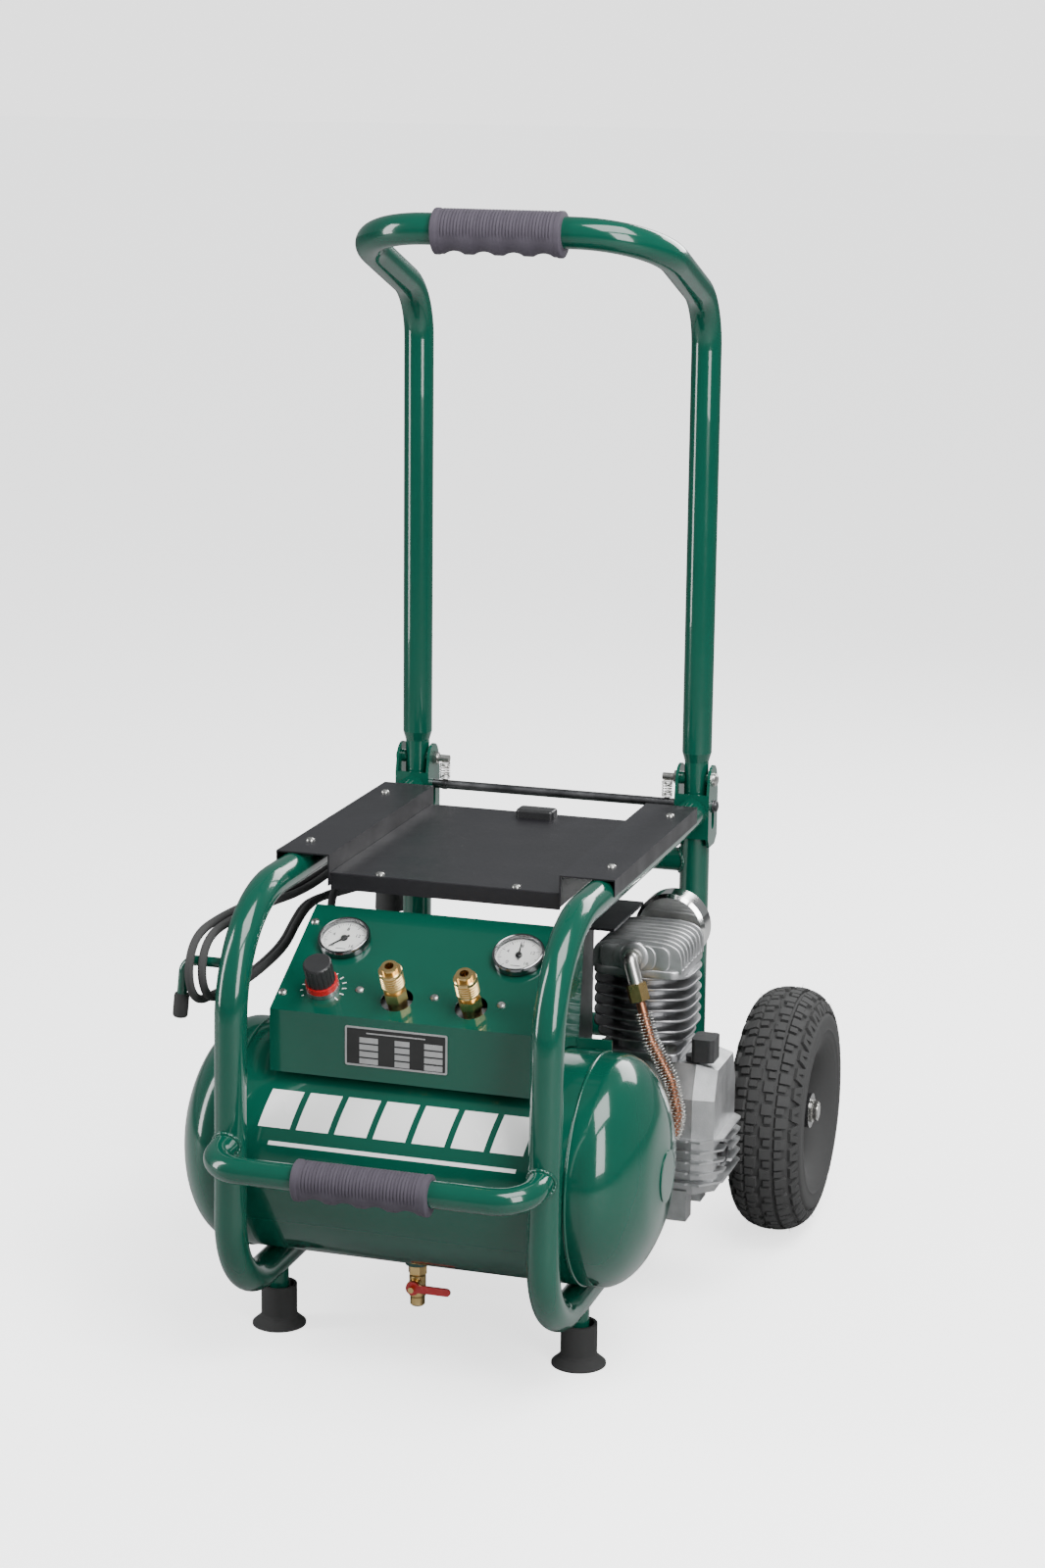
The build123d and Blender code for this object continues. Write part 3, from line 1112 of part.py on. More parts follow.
line_start = elbow_end + elbow_dir * 19.6
line_stop = check_turn + Vector(CHECK_LEN + 0.1, 0, 0)
LINE_BULGE_X = PUMP_X + 54.0
line_path = [
    tuple(line_start),
    (PUMP_X + 24.0, FRONT_Y + 268.0, 296.0),
    (PUMP_X + 46.0, FRONT_Y + 268.0, 256.0),
    (LINE_BULGE_X, FRONT_Y + 267.0, 222.0),
    (LINE_BULGE_X - 4.0, line_stop.Y, CHECK_Z),
    tuple(line_stop),
]
line_core = tube(line_path, [24.0, 30.0, 20.0, 11.0], 10.0)
with BuildLine() as line_wire:
    FilletPolyline(*line_path, radius=[24.0, 30.0, 20.0, 11.0])
FIN_COUNT = 24
line_fins = []
for k in range(FIN_COUNT):
    share = (k + 1.0) / (FIN_COUNT + 1.0)
    middle = line_wire.line @ share
    along = line_wire.line % share
    line_fins.append(bar(tuple(middle - along * 0.6), tuple(middle + along * 0.6), LINE_D))
with BuildPart() as discharge_tube:
    add(line_core)
    add(line_fins)
save(discharge_tube.part, "discharge_tube")

# ---- crank, rod and piston ------------------------------------------------------------
DISC_R = 30.0
DISC_X = (PUMP_X - 40.0, PUMP_X - 28.0)
PIN_R = 9.0
BIG_END_R = 17.0
SMALL_END_R = 11.0
WRIST_R = 5.0
ROD_W = 16.0
ROTOR_R = 44.0
ROTOR_X = (MOTOR_LEFT_X + 40.0, MOTOR_RIGHT_X - 40.0)
crank_pin = (PUMP_X - 30.0, PUMP_Y, CRANK_Z + CRANK_THROW)
with BuildPart() as crankshaft:
    add(bar((MOTOR_LEFT_X + 8.0, PUMP_Y, CRANK_Z), (DISC_X[0] + 2, PUMP_Y, CRANK_Z), 2 * SHAFT_R))
    add(bar((ROTOR_X[0], PUMP_Y, CRANK_Z), (ROTOR_X[1], PUMP_Y, CRANK_Z), 2 * ROTOR_R))
    add(bar((DISC_X[0], PUMP_Y, CRANK_Z), (DISC_X[1], PUMP_Y, CRANK_Z), 2 * DISC_R))
    add(bar(crank_pin, (PUMP_X + ROD_W / 2 + 2.0, PUMP_Y, CRANK_Z + CRANK_THROW), 2 * PIN_R))
save(crankshaft.part, "crankshaft")

rod_x = (PUMP_X - ROD_W / 2, PUMP_X + ROD_W / 2)
big_z = CRANK_Z + CRANK_THROW
rod_pieces = [
    bar((rod_x[0], PUMP_Y, big_z), (rod_x[1], PUMP_Y, big_z), 2 * BIG_END_R),
    bar((rod_x[0], PUMP_Y, PIN_Z), (rod_x[1], PUMP_Y, PIN_Z), 2 * SMALL_END_R),
    block((rod_x[0] + 4, rod_x[1] - 4), (PUMP_Y - 7, PUMP_Y + 7), (big_z, PIN_Z)),
]
WRIST_HALF = 19.0
with BuildPart() as connecting_rod:
    add(rod_pieces)
    add(bar((rod_x[0] - 1, PUMP_Y, big_z), (rod_x[1] + 1, PUMP_Y, big_z), 2 * (PIN_R + RUN)),
        mode=Mode.SUBTRACT)
    add(bar((PUMP_X - WRIST_HALF, PUMP_Y, PIN_Z), (PUMP_X + WRIST_HALF, PUMP_Y, PIN_Z), 2 * WRIST_R))
save(connecting_rod.part, "connecting_rod")

piston_outline = [
    (0, CYL_TOP_Z - 9.0), (0, CYL_TOP_Z - 1.0), (BORE_R - RUN, CYL_TOP_Z - 1.0), (BORE_R - RUN,
        CYL_TOP_Z - 54.0),
    (BORE_R - 3.2, CYL_TOP_Z - 54.0), (BORE_R - 3.2, CYL_TOP_Z - 9.0),
]
save(turned(piston_outline, (PUMP_X, PUMP_Y, 0), (0, 0, 1)), "piston")

# ---- motor, fan and cowl --------------------------------------------------------------
FOOT_TOP_Z = CRANK_Z - MOTOR_R + 14.0
motor_outline = [
    (SHAFT_R + RUN, 0), (MOTOR_R - 12, 0), (MOTOR_R - 4, 10), (MOTOR_R - 4, 26), (MOTOR_R, 26),
    (MOTOR_R, MOTOR_RIGHT_X - MOTOR_LEFT_X - 24), (MOTOR_R - 4, MOTOR_RIGHT_X - MOTOR_LEFT_X - 24),
    (MOTOR_R - 4, MOTOR_RIGHT_X - MOTOR_LEFT_X - 8), (MOTOR_R - 12, MOTOR_RIGHT_X - MOTOR_LEFT_X),
    (SHAFT_R + RUN, MOTOR_RIGHT_X - MOTOR_LEFT_X), (SHAFT_R + RUN, MOTOR_RIGHT_X - MOTOR_LEFT_X - 10),
    (MOTOR_R - 16, MOTOR_RIGHT_X - MOTOR_LEFT_X - 14), (MOTOR_R - 16, 14), (SHAFT_R + RUN, 10),
]
motor_feet = [
    block((MOTOR_LEFT_X + 30, MOTOR_RIGHT_X - 26), pair, (BASE_Z + BASE_T + 0.1, FOOT_TOP_Z))
    for pair in ((PUMP_Y - 50, PUMP_Y - 34), (PUMP_Y + 34, PUMP_Y + 50))
]
capacitor = bar((MOTOR_LEFT_X + 36, PUMP_Y + 22, CRANK_Z + MOTOR_R + 12),
    (MOTOR_RIGHT_X - 50, PUMP_Y + 22, CRANK_Z + MOTOR_R + 12),
                42.0)
motor_drum = turned(motor_outline, (MOTOR_LEFT_X, PUMP_Y, CRANK_Z), (1, 0, 0))
with BuildPart() as motor_housing:
    add(motor_feet)
    add(bar((MOTOR_LEFT_X + 26, PUMP_Y, CRANK_Z), (MOTOR_RIGHT_X - 24, PUMP_Y, CRANK_Z),
        2 * MOTOR_R - 1.0), mode=Mode.SUBTRACT)
    add(motor_drum)
    add(capacitor)
save(motor_housing.part, "motor_housing")

FAN_X = (MOTOR_RIGHT_X + 8.0, MOTOR_RIGHT_X + 28.0)
BLADES = 9
fan_hub = bar((FAN_X[0], PUMP_Y, CRANK_Z), (FAN_X[1], PUMP_Y, CRANK_Z), 2 * 24.0)
blades = []
for k in range(BLADES):
    blade = Box(3.0, FAN_R - 20.0, FAN_X[1] - FAN_X[0] - 3.0, align=(Align.CENTER, Align.MIN, Align.CENTER))
    blade = blade.moved(Location((0, 20.0, 0), (0, 22, 0)))
    blade = blade.moved(Location((0, 0, 0), (0, 0, 360 * k / BLADES)))
    blades.append(blade.moved(Location((sum(FAN_X) / 2, PUMP_Y, CRANK_Z), (0, 90, 0))))
with BuildPart() as cooling_fan:
    add(fan_hub)
    add(blades)
    add(bar((FAN_X[0] - 1, PUMP_Y, CRANK_Z), (FAN_X[1] + 1, PUMP_Y, CRANK_Z), 2 * SHAFT_R + 0.1),
        mode=Mode.SUBTRACT)
save(cooling_fan.part, "cooling_fan")

COWL_X = (MOTOR_RIGHT_X + 35.0, MOTOR_RIGHT_X + 38.0)
COWL_BACK = (290.0, 402.0)
COWL_TOP_Z = 402.0
COWL_ROOF_X = PUMP_X - 22.0
COWL_RING_X = MOTOR_RIGHT_X + 4.0
with BuildPart() as fan_cowl:
    add(block(COWL_X, (FRONT_Y + COWL_BACK[0], FRONT_Y + COWL_BACK[1]), (BASE_Z + BASE_T + 1, COWL_TOP_Z)))
    add(block((COWL_X[0], COWL_ROOF_X), (FRONT_Y + COWL_BACK[0], FRONT_Y + COWL_BACK[1]),
        (COWL_TOP_Z - 3, COWL_TOP_Z)))
    add(bar((COWL_RING_X, PUMP_Y, CRANK_Z), (COWL_X[0] + 1, PUMP_Y, CRANK_Z), 2 * (FAN_R + 6),
        2 * (FAN_R + 3.5)))
    add(bar((COWL_X[0] - 1, PUMP_Y, CRANK_Z), (COWL_X[1] + 1, PUMP_Y, CRANK_Z), 2 * (FAN_R - 12.0)),
        mode=Mode.SUBTRACT)
    add(block((COWL_X[0] - 60, COWL_X[1] + 20), (FRONT_Y + 200, FRONT_Y + 480),
        (0, BASE_Z + BASE_T + 1)), mode=Mode.SUBTRACT)
save(fan_cowl.part, "fan_cowl")

# ---- welded plates: tank ties, axle lugs and the pump's base plate ---------------------
BASE_X = FRAME_HALF + 14.0
BASE_BACK = (262.0, 438.0)
with BuildPart() as base_plate:
    add(block((-BASE_X, BASE_X), (FRONT_Y + BASE_BACK[0], FRONT_Y + BASE_BACK[1]),
        (BASE_Z, BASE_Z + BASE_T), 12.0))
with BuildPart() as welded_plates:
    add(base_plate.part)
    add(lug_plates)
    add(tank_ties.part)
    add(foot_stubs.part)
save(welded_plates.part, "welded_plates")

# ---- cord hooks -----------------------------------------------------------------------
HOOK_DROP = 51.0
REAR_HOOK_Z = 412.0
TIP_R = 7.0
hook_places = [(HOOK_Y, HOOK_Z), (REAR_Y, REAR_HOOK_Z)]
hook_solids = []
tip_solids = []
for y, z in hook_places:
    low = (-HOOK_X - 5.0, y, z - HOOK_DROP)
    hook = tube([(-FRAME_HALF, y, z), (-HOOK_X, y, z), low], [14.0], HOOK_D)
    hook_solids.append(hook - side_solids[-1])
    tip_top = Vector(-HOOK_X - 3.4, y, z - HOOK_DROP + 16.0)
    tip_low = Vector(-HOOK_X - 5.6, y, z - HOOK_DROP - 6.0)
    tip_solids.append(bar(tuple(tip_top), tuple(tip_low), 2 * TIP_R) - hook)
with BuildPart() as cord_hooks:
    add(hook_solids)
    add(tip_solids)
save(cord_hooks.part, "cord_hooks")

# ---- power cord -----------------------------------------------------------------------
cord_route = [
    (-74.1, 243.0, 370.0), (-118.0, 243.0, 370.0), (-158.0, 275.0, 386.0), (-178.0, 335.0, 402.0),
    (-184.0, 410.0, 413.0), (-188.0, 505.0, 420.0),
    # first turn: over the rear hook, forward low, round the front hook
    (-188.0, 564.2, 422.0), (-188.2, 580.3, 394.0), (-188.4, 564.2, 366.0), (-188.8, 506.0, 368.0),
    (-189.2, 430.0, 381.0), (-189.8, 352.0, 393.0), (-190.2, 296.0, 396.0), (-190.4, 262.0, 384.0),
    (-190.6, 236.0, 370.0), (-190.8, 196.0, 364.0), (-191.0, 130.0, 361.0), (-191.0, 80.0, 364.0),
    (-191.0, 29.0, 368.0), (-191.2, 10.5, 400.0), (-191.4, 29.0, 432.0), (-192.0, 92.0, 433.0),
    (-193.5, 190.0, 424.0), (-195.5, 295.0, 410.0), (-197.0, 400.0, 410.0), (-197.5, 505.0, 420.0),
    # second turn, outside the first
    (-197.5, 564.2, 422.0), (-197.7, 580.3, 394.0), (-197.9, 564.2, 366.0), (-198.4, 506.0, 365.0),
    (-199.2, 430.0, 376.0), (-200.4, 352.0, 388.0), (-201.2, 310.0, 390.0), (-201.8, 280.0, 378.0),
    (-202.2, 252.0, 364.0), (-202.6, 205.0, 358.0), (-203.0, 140.0, 356.0), (-203.0, 84.0, 360.0),
    (-203.0, 26.4, 365.0), (-203.2, 6.7, 399.0), (-203.4, 26.4, 433.0), (-203.8, 95.0, 434.5),
    (-204.6, 195.0, 426.0), (-205.6, 300.0, 413.0), (-206.6, 405.0, 412.0), (-207.0, 492.0, 419.0),
    # over the rear hook a last time and down to the plug
    (-207.0, 540.0, 422.5), (-207.0, 578.0, 420.0), (-207.0, 597.0, 394.0), (-207.0, 598.0, 364.0),
]
cord_points = [Vector(x, FRONT_Y + back, z) for x, back, z in cord_route]


def cord_radius(before, corner, after):
    """Arc radius that uses 45 % of the shorter run on each side of a corner."""
    first = corner - before
    second = after - corner
    half_turn = radians(first.get_angle(second)) / 2
    return 0.45 * min(first.length, second.length) / tan(half_turn)


cord_radii = [cord_radius(*cord_points[k - 1:k + 2]) for k in range(1, len(cord_points) - 1)]
cord_solid = tube([tuple(point) for point in cord_points], cord_radii, CORD_D)
with BuildLine() as cord_wire:
    FilletPolyline(*[tuple(point) for point in cord_points], radius=cord_radii)
cord_length = sum(edge.length for edge in cord_wire.line.edges())
print(f"cord: length {cord_length:.0f} mm, volume {cord_solid.volume:.0f}, "
      f"section x length {cord_length * pi * CORD_D ** 2 / 4:.0f}")
print("cord radii:", " ".join(f"{radius:.0f}" for radius in cord_radii))
save(cord_solid, "power_cord")

RELIEF_LEN = 23.0
relief_bore = CORD_D / 2 + 0.02
relief_outline = [(relief_bore, 0), (8.0, 0), (8.0, 4.0), (5.6, RELIEF_LEN), (relief_bore, RELIEF_LEN)]
relief_dir = (cord_points[1] - cord_points[0]).normalized()
save(turned(relief_outline, tuple(cord_points[0]), tuple(relief_dir)), "strain_relief")

PLUG_LEN = 52.0
PRONG_LEN = 19.0
PLUG_R = 17.0
plug_end = cord_points[-1]
plug_dir = (cord_points[-1] - cord_points[-2]).normalized()
plug_outline = [(0, 0.1), (5.2, 0.1), (7.6, 20.0), (PLUG_R - 2, 23.0), (PLUG_R, 27.0),
    (PLUG_R + 1, PLUG_LEN), (0, PLUG_LEN)]
prong_low = plug_end + plug_dir * (PLUG_LEN - 1)
prongs = [
    bar(tuple(prong_low + Vector(0, dy, 0)), tuple(prong_low + Vector(0, dy,
        0) + plug_dir * (PRONG_LEN + 1)), 4.8)
    for dy in (-9.5, 9.5)
]
with BuildPart() as cord_plug:
    add(turned(plug_outline, tuple(plug_end), tuple(plug_dir)))
    add(prongs)
save(cord_plug.part, "cord_plug")
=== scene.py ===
"""Looks of a wheeled site air compressor, laid out as a Blender add-on and run as a script.

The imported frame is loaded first. Each operator then makes one piece, or one group of like pieces.
"""
import math

import bmesh
import bpy
import numpy as np
from mathutils import Matrix, Vector


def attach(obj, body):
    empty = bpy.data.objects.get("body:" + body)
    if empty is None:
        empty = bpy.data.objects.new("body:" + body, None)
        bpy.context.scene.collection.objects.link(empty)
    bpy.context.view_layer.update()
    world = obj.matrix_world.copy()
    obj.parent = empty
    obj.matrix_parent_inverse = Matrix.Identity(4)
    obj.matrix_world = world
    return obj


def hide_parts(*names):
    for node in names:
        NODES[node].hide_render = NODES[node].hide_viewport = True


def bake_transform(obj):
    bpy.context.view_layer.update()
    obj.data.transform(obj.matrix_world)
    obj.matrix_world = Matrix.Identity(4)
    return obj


bl_info = {
    "name": "Site air compressor",
    "version": (1, 0, 0),
    "blender": (4, 5, 0),
    "location": "View3D > Sidebar > Compressor",
    "description": "Builds the finished surfaces of a wheeled site air compressor",
    "category": "Object",
}

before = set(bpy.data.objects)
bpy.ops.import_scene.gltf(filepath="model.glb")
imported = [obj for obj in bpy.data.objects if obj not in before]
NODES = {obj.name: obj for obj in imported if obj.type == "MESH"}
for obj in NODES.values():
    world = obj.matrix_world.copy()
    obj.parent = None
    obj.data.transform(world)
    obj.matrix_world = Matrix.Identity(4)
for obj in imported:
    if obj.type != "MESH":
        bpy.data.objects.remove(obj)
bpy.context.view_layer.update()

# ---- places shared with the part, in metres ----
FRONT_Y = -0.3166
REAR_Y = FRONT_Y + 0.552
TANK_Y = FRONT_Y + 0.1346
TANK_Z = 0.2037
TANK_R = 0.1146
PUMP_Y = FRONT_Y + 0.345
AXLE_Y = FRONT_Y + 0.574
FOLD_Y = FRONT_Y + 0.0504
FOLD_Z = 0.3595
SLOPE = math.atan2(0.072, 0.1287)
FACE_UP = np.array([0.0, math.cos(SLOPE), math.sin(SLOPE)])
FACE_OUT = np.array([0.0, -math.sin(SLOPE), math.cos(SLOPE)])
GAUGE_X = 0.0902
GAUGE_UP = 0.100
KNOB_X, KNOB_UP = -0.0913, 0.0338
TUBE_X, TUBE_R = 0.159, 0.0159
LATCH_COIL_R = 0.0053
PUMP_X = 0.165
WHEEL_R = 0.134
FLOOR_REACH = 40.0

TAU = 2 * math.pi
GOLDEN_ANGLE = 2.39996


def face_point(x, up, out=0.0):
    """A point on the sloping control face: across, up the slope and out of it."""
    return np.array([x, FOLD_Y, FOLD_Z]) + up * FACE_UP + out * FACE_OUT


# ---- surfaces from formulas ----
def new_object(name, points, faces, smooth=40.0, weld=True):
    """A mesh object from point and face arrays, closed where points meet, with outward normals."""
    points = np.asarray(points, float).reshape(-1, 3)
    faces = np.asarray(faces, np.int32)
    mesh = bpy.data.meshes.new(name)
    mesh.vertices.add(len(points))
    mesh.vertices.foreach_set("co", points.ravel())
    side = faces.shape[1]
    mesh.loops.add(faces.size)
    mesh.loops.foreach_set("vertex_index", faces.ravel())
    mesh.polygons.add(len(faces))
    mesh.polygons.foreach_set("loop_start", np.arange(len(faces), dtype=np.int32) * side)
    mesh.update(calc_edges=True)
    if weld:
        work = bmesh.new()
        work.from_mesh(mesh)
        bmesh.ops.remove_doubles(work, verts=work.verts, dist=2e-6)
        bmesh.ops.recalc_face_normals(work, faces=work.faces)
        work.to_mesh(mesh)
        work.free()
    mesh.polygons.foreach_set("use_smooth", np.ones(len(mesh.polygons), bool))
    mesh.set_sharp_from_angle(angle=math.radians(smooth))
    mesh.update()
    made = bpy.data.objects.new(name, mesh)
    bpy.context.scene.collection.objects.link(made)
    return made


def grid_faces(rows, columns, wrap_rows=False, wrap_columns=False, start=0):
    """Quads between neighbouring points of a rows by columns grid, wrapping round where asked."""
    i = np.arange(rows if wrap_rows else rows - 1)
    j = np.arange(columns if wrap_columns else columns - 1)
    a, b = np.meshgrid(i, j, indexing="ij")
    c, d = (a + 1) % rows, (b + 1) % columns
    quads = np.stack([a * columns + b, c * columns + b, c * columns + d, a * columns + d], -1)
    return quads.reshape(-1, 4) + start


def joined(parts):
    """One point array and one face array from several (points, faces) pairs."""
    points, faces, count = [], [], 0
    for part_points, part_faces in parts:
        part_points = np.asarray(part_points, float).reshape(-1, 3)
        points.append(part_points)
        faces.append(np.asarray(part_faces) + count)
        count += len(part_points)
    return np.concatenate(points), np.concatenate(faces)


def axes_for(direction):
    """Two unit vectors square to a direction, and the direction itself."""
    w = np.array(direction, float)
    w /= np.linalg.norm(w)
    u = np.cross([0.0, 0.0, 1.0] if abs(w[2]) < 0.9 else [1.0, 0.0, 0.0], w)
    u /= np.linalg.norm(u)
    return u, np.cross(w, u), w


def lathe(profile, origin, direction, segments=64):
    """A turned surface: the point at angle a is origin + radius (cos a, sin a) + height on the axis."""
    profile = np.asarray(profile, float)
    u, v, w = axes_for(direction)
    angle = np.arange(segments) * TAU / segments
    round_it = np.cos(angle)[:, None] * u + np.sin(angle)[:, None] * v
    points = profile[None, :, :1] * round_it[:, None, :] + profile[None, :, 1:] * w
    points = points + np.asarray(origin, float)
    return points.reshape(-1, 3), grid_faces(segments, len(profile), wrap_rows=True)


def pipe(path, radius, sides=16, square_to=(0, 0, 1), closed=False):
    """A profile carried along a path: a circle of radius (a number, or one per path point and side),
    in the plane square to the path, its first axis as square as it can be to square_to."""
    path = np.asarray(path, float)
    if closed:
        along = np.roll(path, -1, 0) - np.roll(path, 1, 0)
    else:
        along = np.gradient(path, axis=0)
    along /= np.linalg.norm(along, axis=1)[:, None]
    across = np.cross(along, np.broadcast_to(np.asarray(square_to, float), path.shape))
    across /= np.linalg.norm(across, axis=1)[:, None]
    third = np.cross(across, along)
    angle = np.arange(sides) * TAU / sides
    reach = np.broadcast_to(np.asarray(radius, float), (len(path), sides))
    cos, sin = np.cos(angle)[None, :, None], np.sin(angle)[None, :, None]
    ring = cos * across[:, None, :] + sin * third[:, None, :]
    points = path[:, None, :] + reach[:, :, None] * ring
    if closed:
        return points.reshape(-1, 3), grid_faces(len(path), sides, wrap_rows=True, wrap_columns=True)
    first, last = (np.broadcast_to(path[k], (1, sides, 3)) for k in (0, -1))
    capped = np.concatenate([first, points, last])
    return capped.reshape(-1, 3), grid_faces(len(path) + 2, sides, wrap_columns=True)


def slab(outline, normal, thick, edge, rings=4):
    """A plate with rounded edges: its outline, shrunk towards its middle by edge (1 - cos t) while it
    rises by edge sin t at each face, closed at the middle of both faces."""
    outline = np.asarray(outline, float)
    normal = np.asarray(normal, float) / np.linalg.norm(normal)
    middle = outline.mean(0)
    spread = np.linalg.norm(outline - middle, axis=1)[:, None]
    turn = np.linspace(0, math.pi / 2, rings)
    inset = edge * (1 - np.cos(turn))
    rise = edge * np.sin(turn)
    low = [(i, -thick / 2 + edge - r) for i, r in zip(inset[::-1], rise[::-1])]
    high = [(i, thick / 2 - edge + r) for i, r in zip(inset, rise)]
    rows = [np.broadcast_to(middle - normal * thick / 2, outline.shape)]
    for i, height in low + high:
        rows.append(middle + (outline - middle) * (1 - i / spread) + normal * height)
    rows.append(np.broadcast_to(middle + normal * thick / 2, outline.shape))
    points = np.stack(rows)
    return points.reshape(-1, 3), grid_faces(len(rows), len(outline), wrap_columns=True)


def rounded_rectangle(centre, across, up, width, height, radius, steps=5):
    """Corner arcs of a rectangle joined in order: corner centre + radius (cos a, sin a)."""
    across, up = np.asarray(across, float), np.asarray(up, float)
    angle = np.linspace(0, math.pi / 2, steps)
    points = []
    for quarter, (sx, sy) in enumerate(((1, 1), (-1, 1), (-1, -1), (1, -1))):
        a = angle + quarter * math.pi / 2
        x = sx * (width / 2 - radius) + radius * np.cos(a)
        y = sy * (height / 2 - radius) + radius * np.sin(a)
        points.append(x[:, None] * across + y[:, None] * up)
    return np.asarray(centre, float) + np.concatenate(points)


def superellipse(centre, across, up, half_width, half_height, power, count=48):
    """Points centre + half_width |cos a|^(2/power), half_height |sin a|^(2/power), with their signs."""
    a = np.arange(count) * TAU / count
    x = half_width * np.sign(np.cos(a)) * np.abs(np.cos(a)) ** (2 / power)
    y = half_height * np.sign(np.sin(a)) * np.abs(np.sin(a)) ** (2 / power)
    across, up = np.asarray(across, float), np.asarray(up, float)
    return np.asarray(centre, float) + x[:, None] * across + y[:, None] * up


# ---- finishes ----
def noise_group(name, inputs, output, kind, detail, wire):
    """A node group, made once: noise on Object coordinates, which wire() turns into the output."""
    group = bpy.data.node_groups.get(name)
    if group:
        return group
    group = bpy.data.node_groups.new(name, "ShaderNodeTree")
    for key, value in inputs.items():
        sort = "NodeSocketColor" if isinstance(value, tuple) else "NodeSocketFloat"
        group.interface.new_socket(name=key, in_out="INPUT", socket_type=sort).default_value = value
    group.interface.new_socket(name=output, in_out="OUTPUT", socket_type=kind)
    nodes, links = group.nodes, group.links
    inside, outside = nodes.new("NodeGroupInput"), nodes.new("NodeGroupOutput")
    place, noise = nodes.new("ShaderNodeTexCoord"), nodes.new("ShaderNodeTexNoise")
    noise.inputs["Detail"].default_value = detail
    links.new(place.outputs["Object"], noise.inputs["Vector"])
    links.new(inside.outputs["Scale"], noise.inputs["Scale"])
    links.new(wire(nodes, links, inside.outputs, noise), outside.inputs[output])
    return group


def ranged(nodes, links, noise, low, high):
    """The noise stretched so that low to high fills the whole range."""
    ramp = nodes.new("ShaderNodeMapRange")
    ramp.inputs["From Min"].default_value = low
    ramp.inputs["From Max"].default_value = high
    links.new(noise.outputs["Fac"], ramp.inputs["Value"])
    return ramp


def grain_group():
    """Fine relief, as a bump normal."""
    def wire(nodes, links, given, noise):
        bump = nodes.new("ShaderNodeBump")
        links.new(noise.outputs["Fac"], bump.inputs["Height"])
        links.new(given["Strength"], bump.inputs["Strength"])
        links.new(given["Distance"], bump.inputs["Distance"])
        return bump.outputs["Normal"]
    inputs = {"Scale": 400.0, "Strength": 0.1, "Distance": 0.0004}
    return noise_group("surface_grain", inputs, "Normal", "NodeSocketVector", 3.0, wire)


def tone_group():
    """Colour that drifts between a darker and a lighter tone."""
    def wire(nodes, links, given, noise):
        noise.inputs["Roughness"].default_value = 0.6
        ramp = ranged(nodes, links, noise, 0.3, 0.7)
        mix = nodes.new("ShaderNodeMix")
        mix.data_type = "RGBA"
        links.new(ramp.outputs["Result"], mix.inputs["Factor"])
        links.new(given["Dark"], mix.inputs[6])
        links.new(given["Light"], mix.inputs[7])
        return mix.outputs[2]
    inputs = {"Dark": (0.1, 0.1, 0.1, 1), "Light": (0.2, 0.2, 0.2, 1), "Scale": 12.0}
    return noise_group("tone_drift", inputs, "Color", "NodeSocketColor", 5.0, wire)


def smudge_group():
    """Roughness that drifts between a low and a high value, as handled or wiped surfaces do."""
    def wire(nodes, links, given, noise):
        ramp = ranged(nodes, links, noise, 0.35, 0.68)
        links.new(given["Low"], ramp.inputs["To Min"])
        links.new(given["High"], ramp.inputs["To Max"])
        return ramp.outputs["Result"]
    inputs = {"Low": 0.2, "High": 0.4, "Scale": 25.0}
    return noise_group("smudges", inputs, "Roughness", "NodeSocketFloat", 4.0, wire)


def group_node(material, group):
    """A node in a material that stands for a node group."""
    node = material.node_tree.nodes.new("ShaderNodeGroup")
    node.node_tree = group
    return node


def finish(name, dark, light, rough, metallic=0.0, tone=12.0, smudge=25.0, grain=(400.0, 0.1, 0.0004),
        coat=0.0, coat_rough=0.03, specular=0.5):
    """A material with drifting tone and roughness and a fine relief."""
    made = bpy.data.materials.get(name)
    if made:
        return made
    made = bpy.data.materials.new(name)
    made.use_nodes = True
    links = made.node_tree.links
    shader = made.node_tree.nodes["Principled BSDF"]
    shader.inputs["Metallic"].default_value = metallic
    shader.inputs["Coat Weight"].default_value = coat
    shader.inputs["Coat Roughness"].default_value = coat_rough
    shader.inputs["Specular IOR Level"].default_value = specular
    tones = group_node(made, tone_group())
    tones.inputs["Dark"].default_value = (*dark, 1)
    tones.inputs["Light"].default_value = (*light, 1)
    tones.inputs["Scale"].default_value = tone
    links.new(tones.outputs["Color"], shader.inputs["Base Color"])
    smudges = group_node(made, smudge_group())
    smudges.inputs["Low"].default_value = rough[0]
    smudges.inputs["High"].default_value = rough[1]
    smudges.inputs["Scale"].default_value = smudge
    links.new(smudges.outputs["Roughness"], shader.inputs["Roughness"])
    relief = group_node(made, grain_group())
    for key, value in zip(("Scale", "Strength", "Distance"), grain):
        relief.inputs[key].default_value = value
    links.new(relief.outputs["Normal"], shader.inputs["Normal"])
    return made


def shades(colour, spread):
    """A darker and a lighter shade round a colour."""
    return tuple(c * (1 - spread) for c in colour), tuple(min(1.0, c * (1 + spread)) for c in colour)


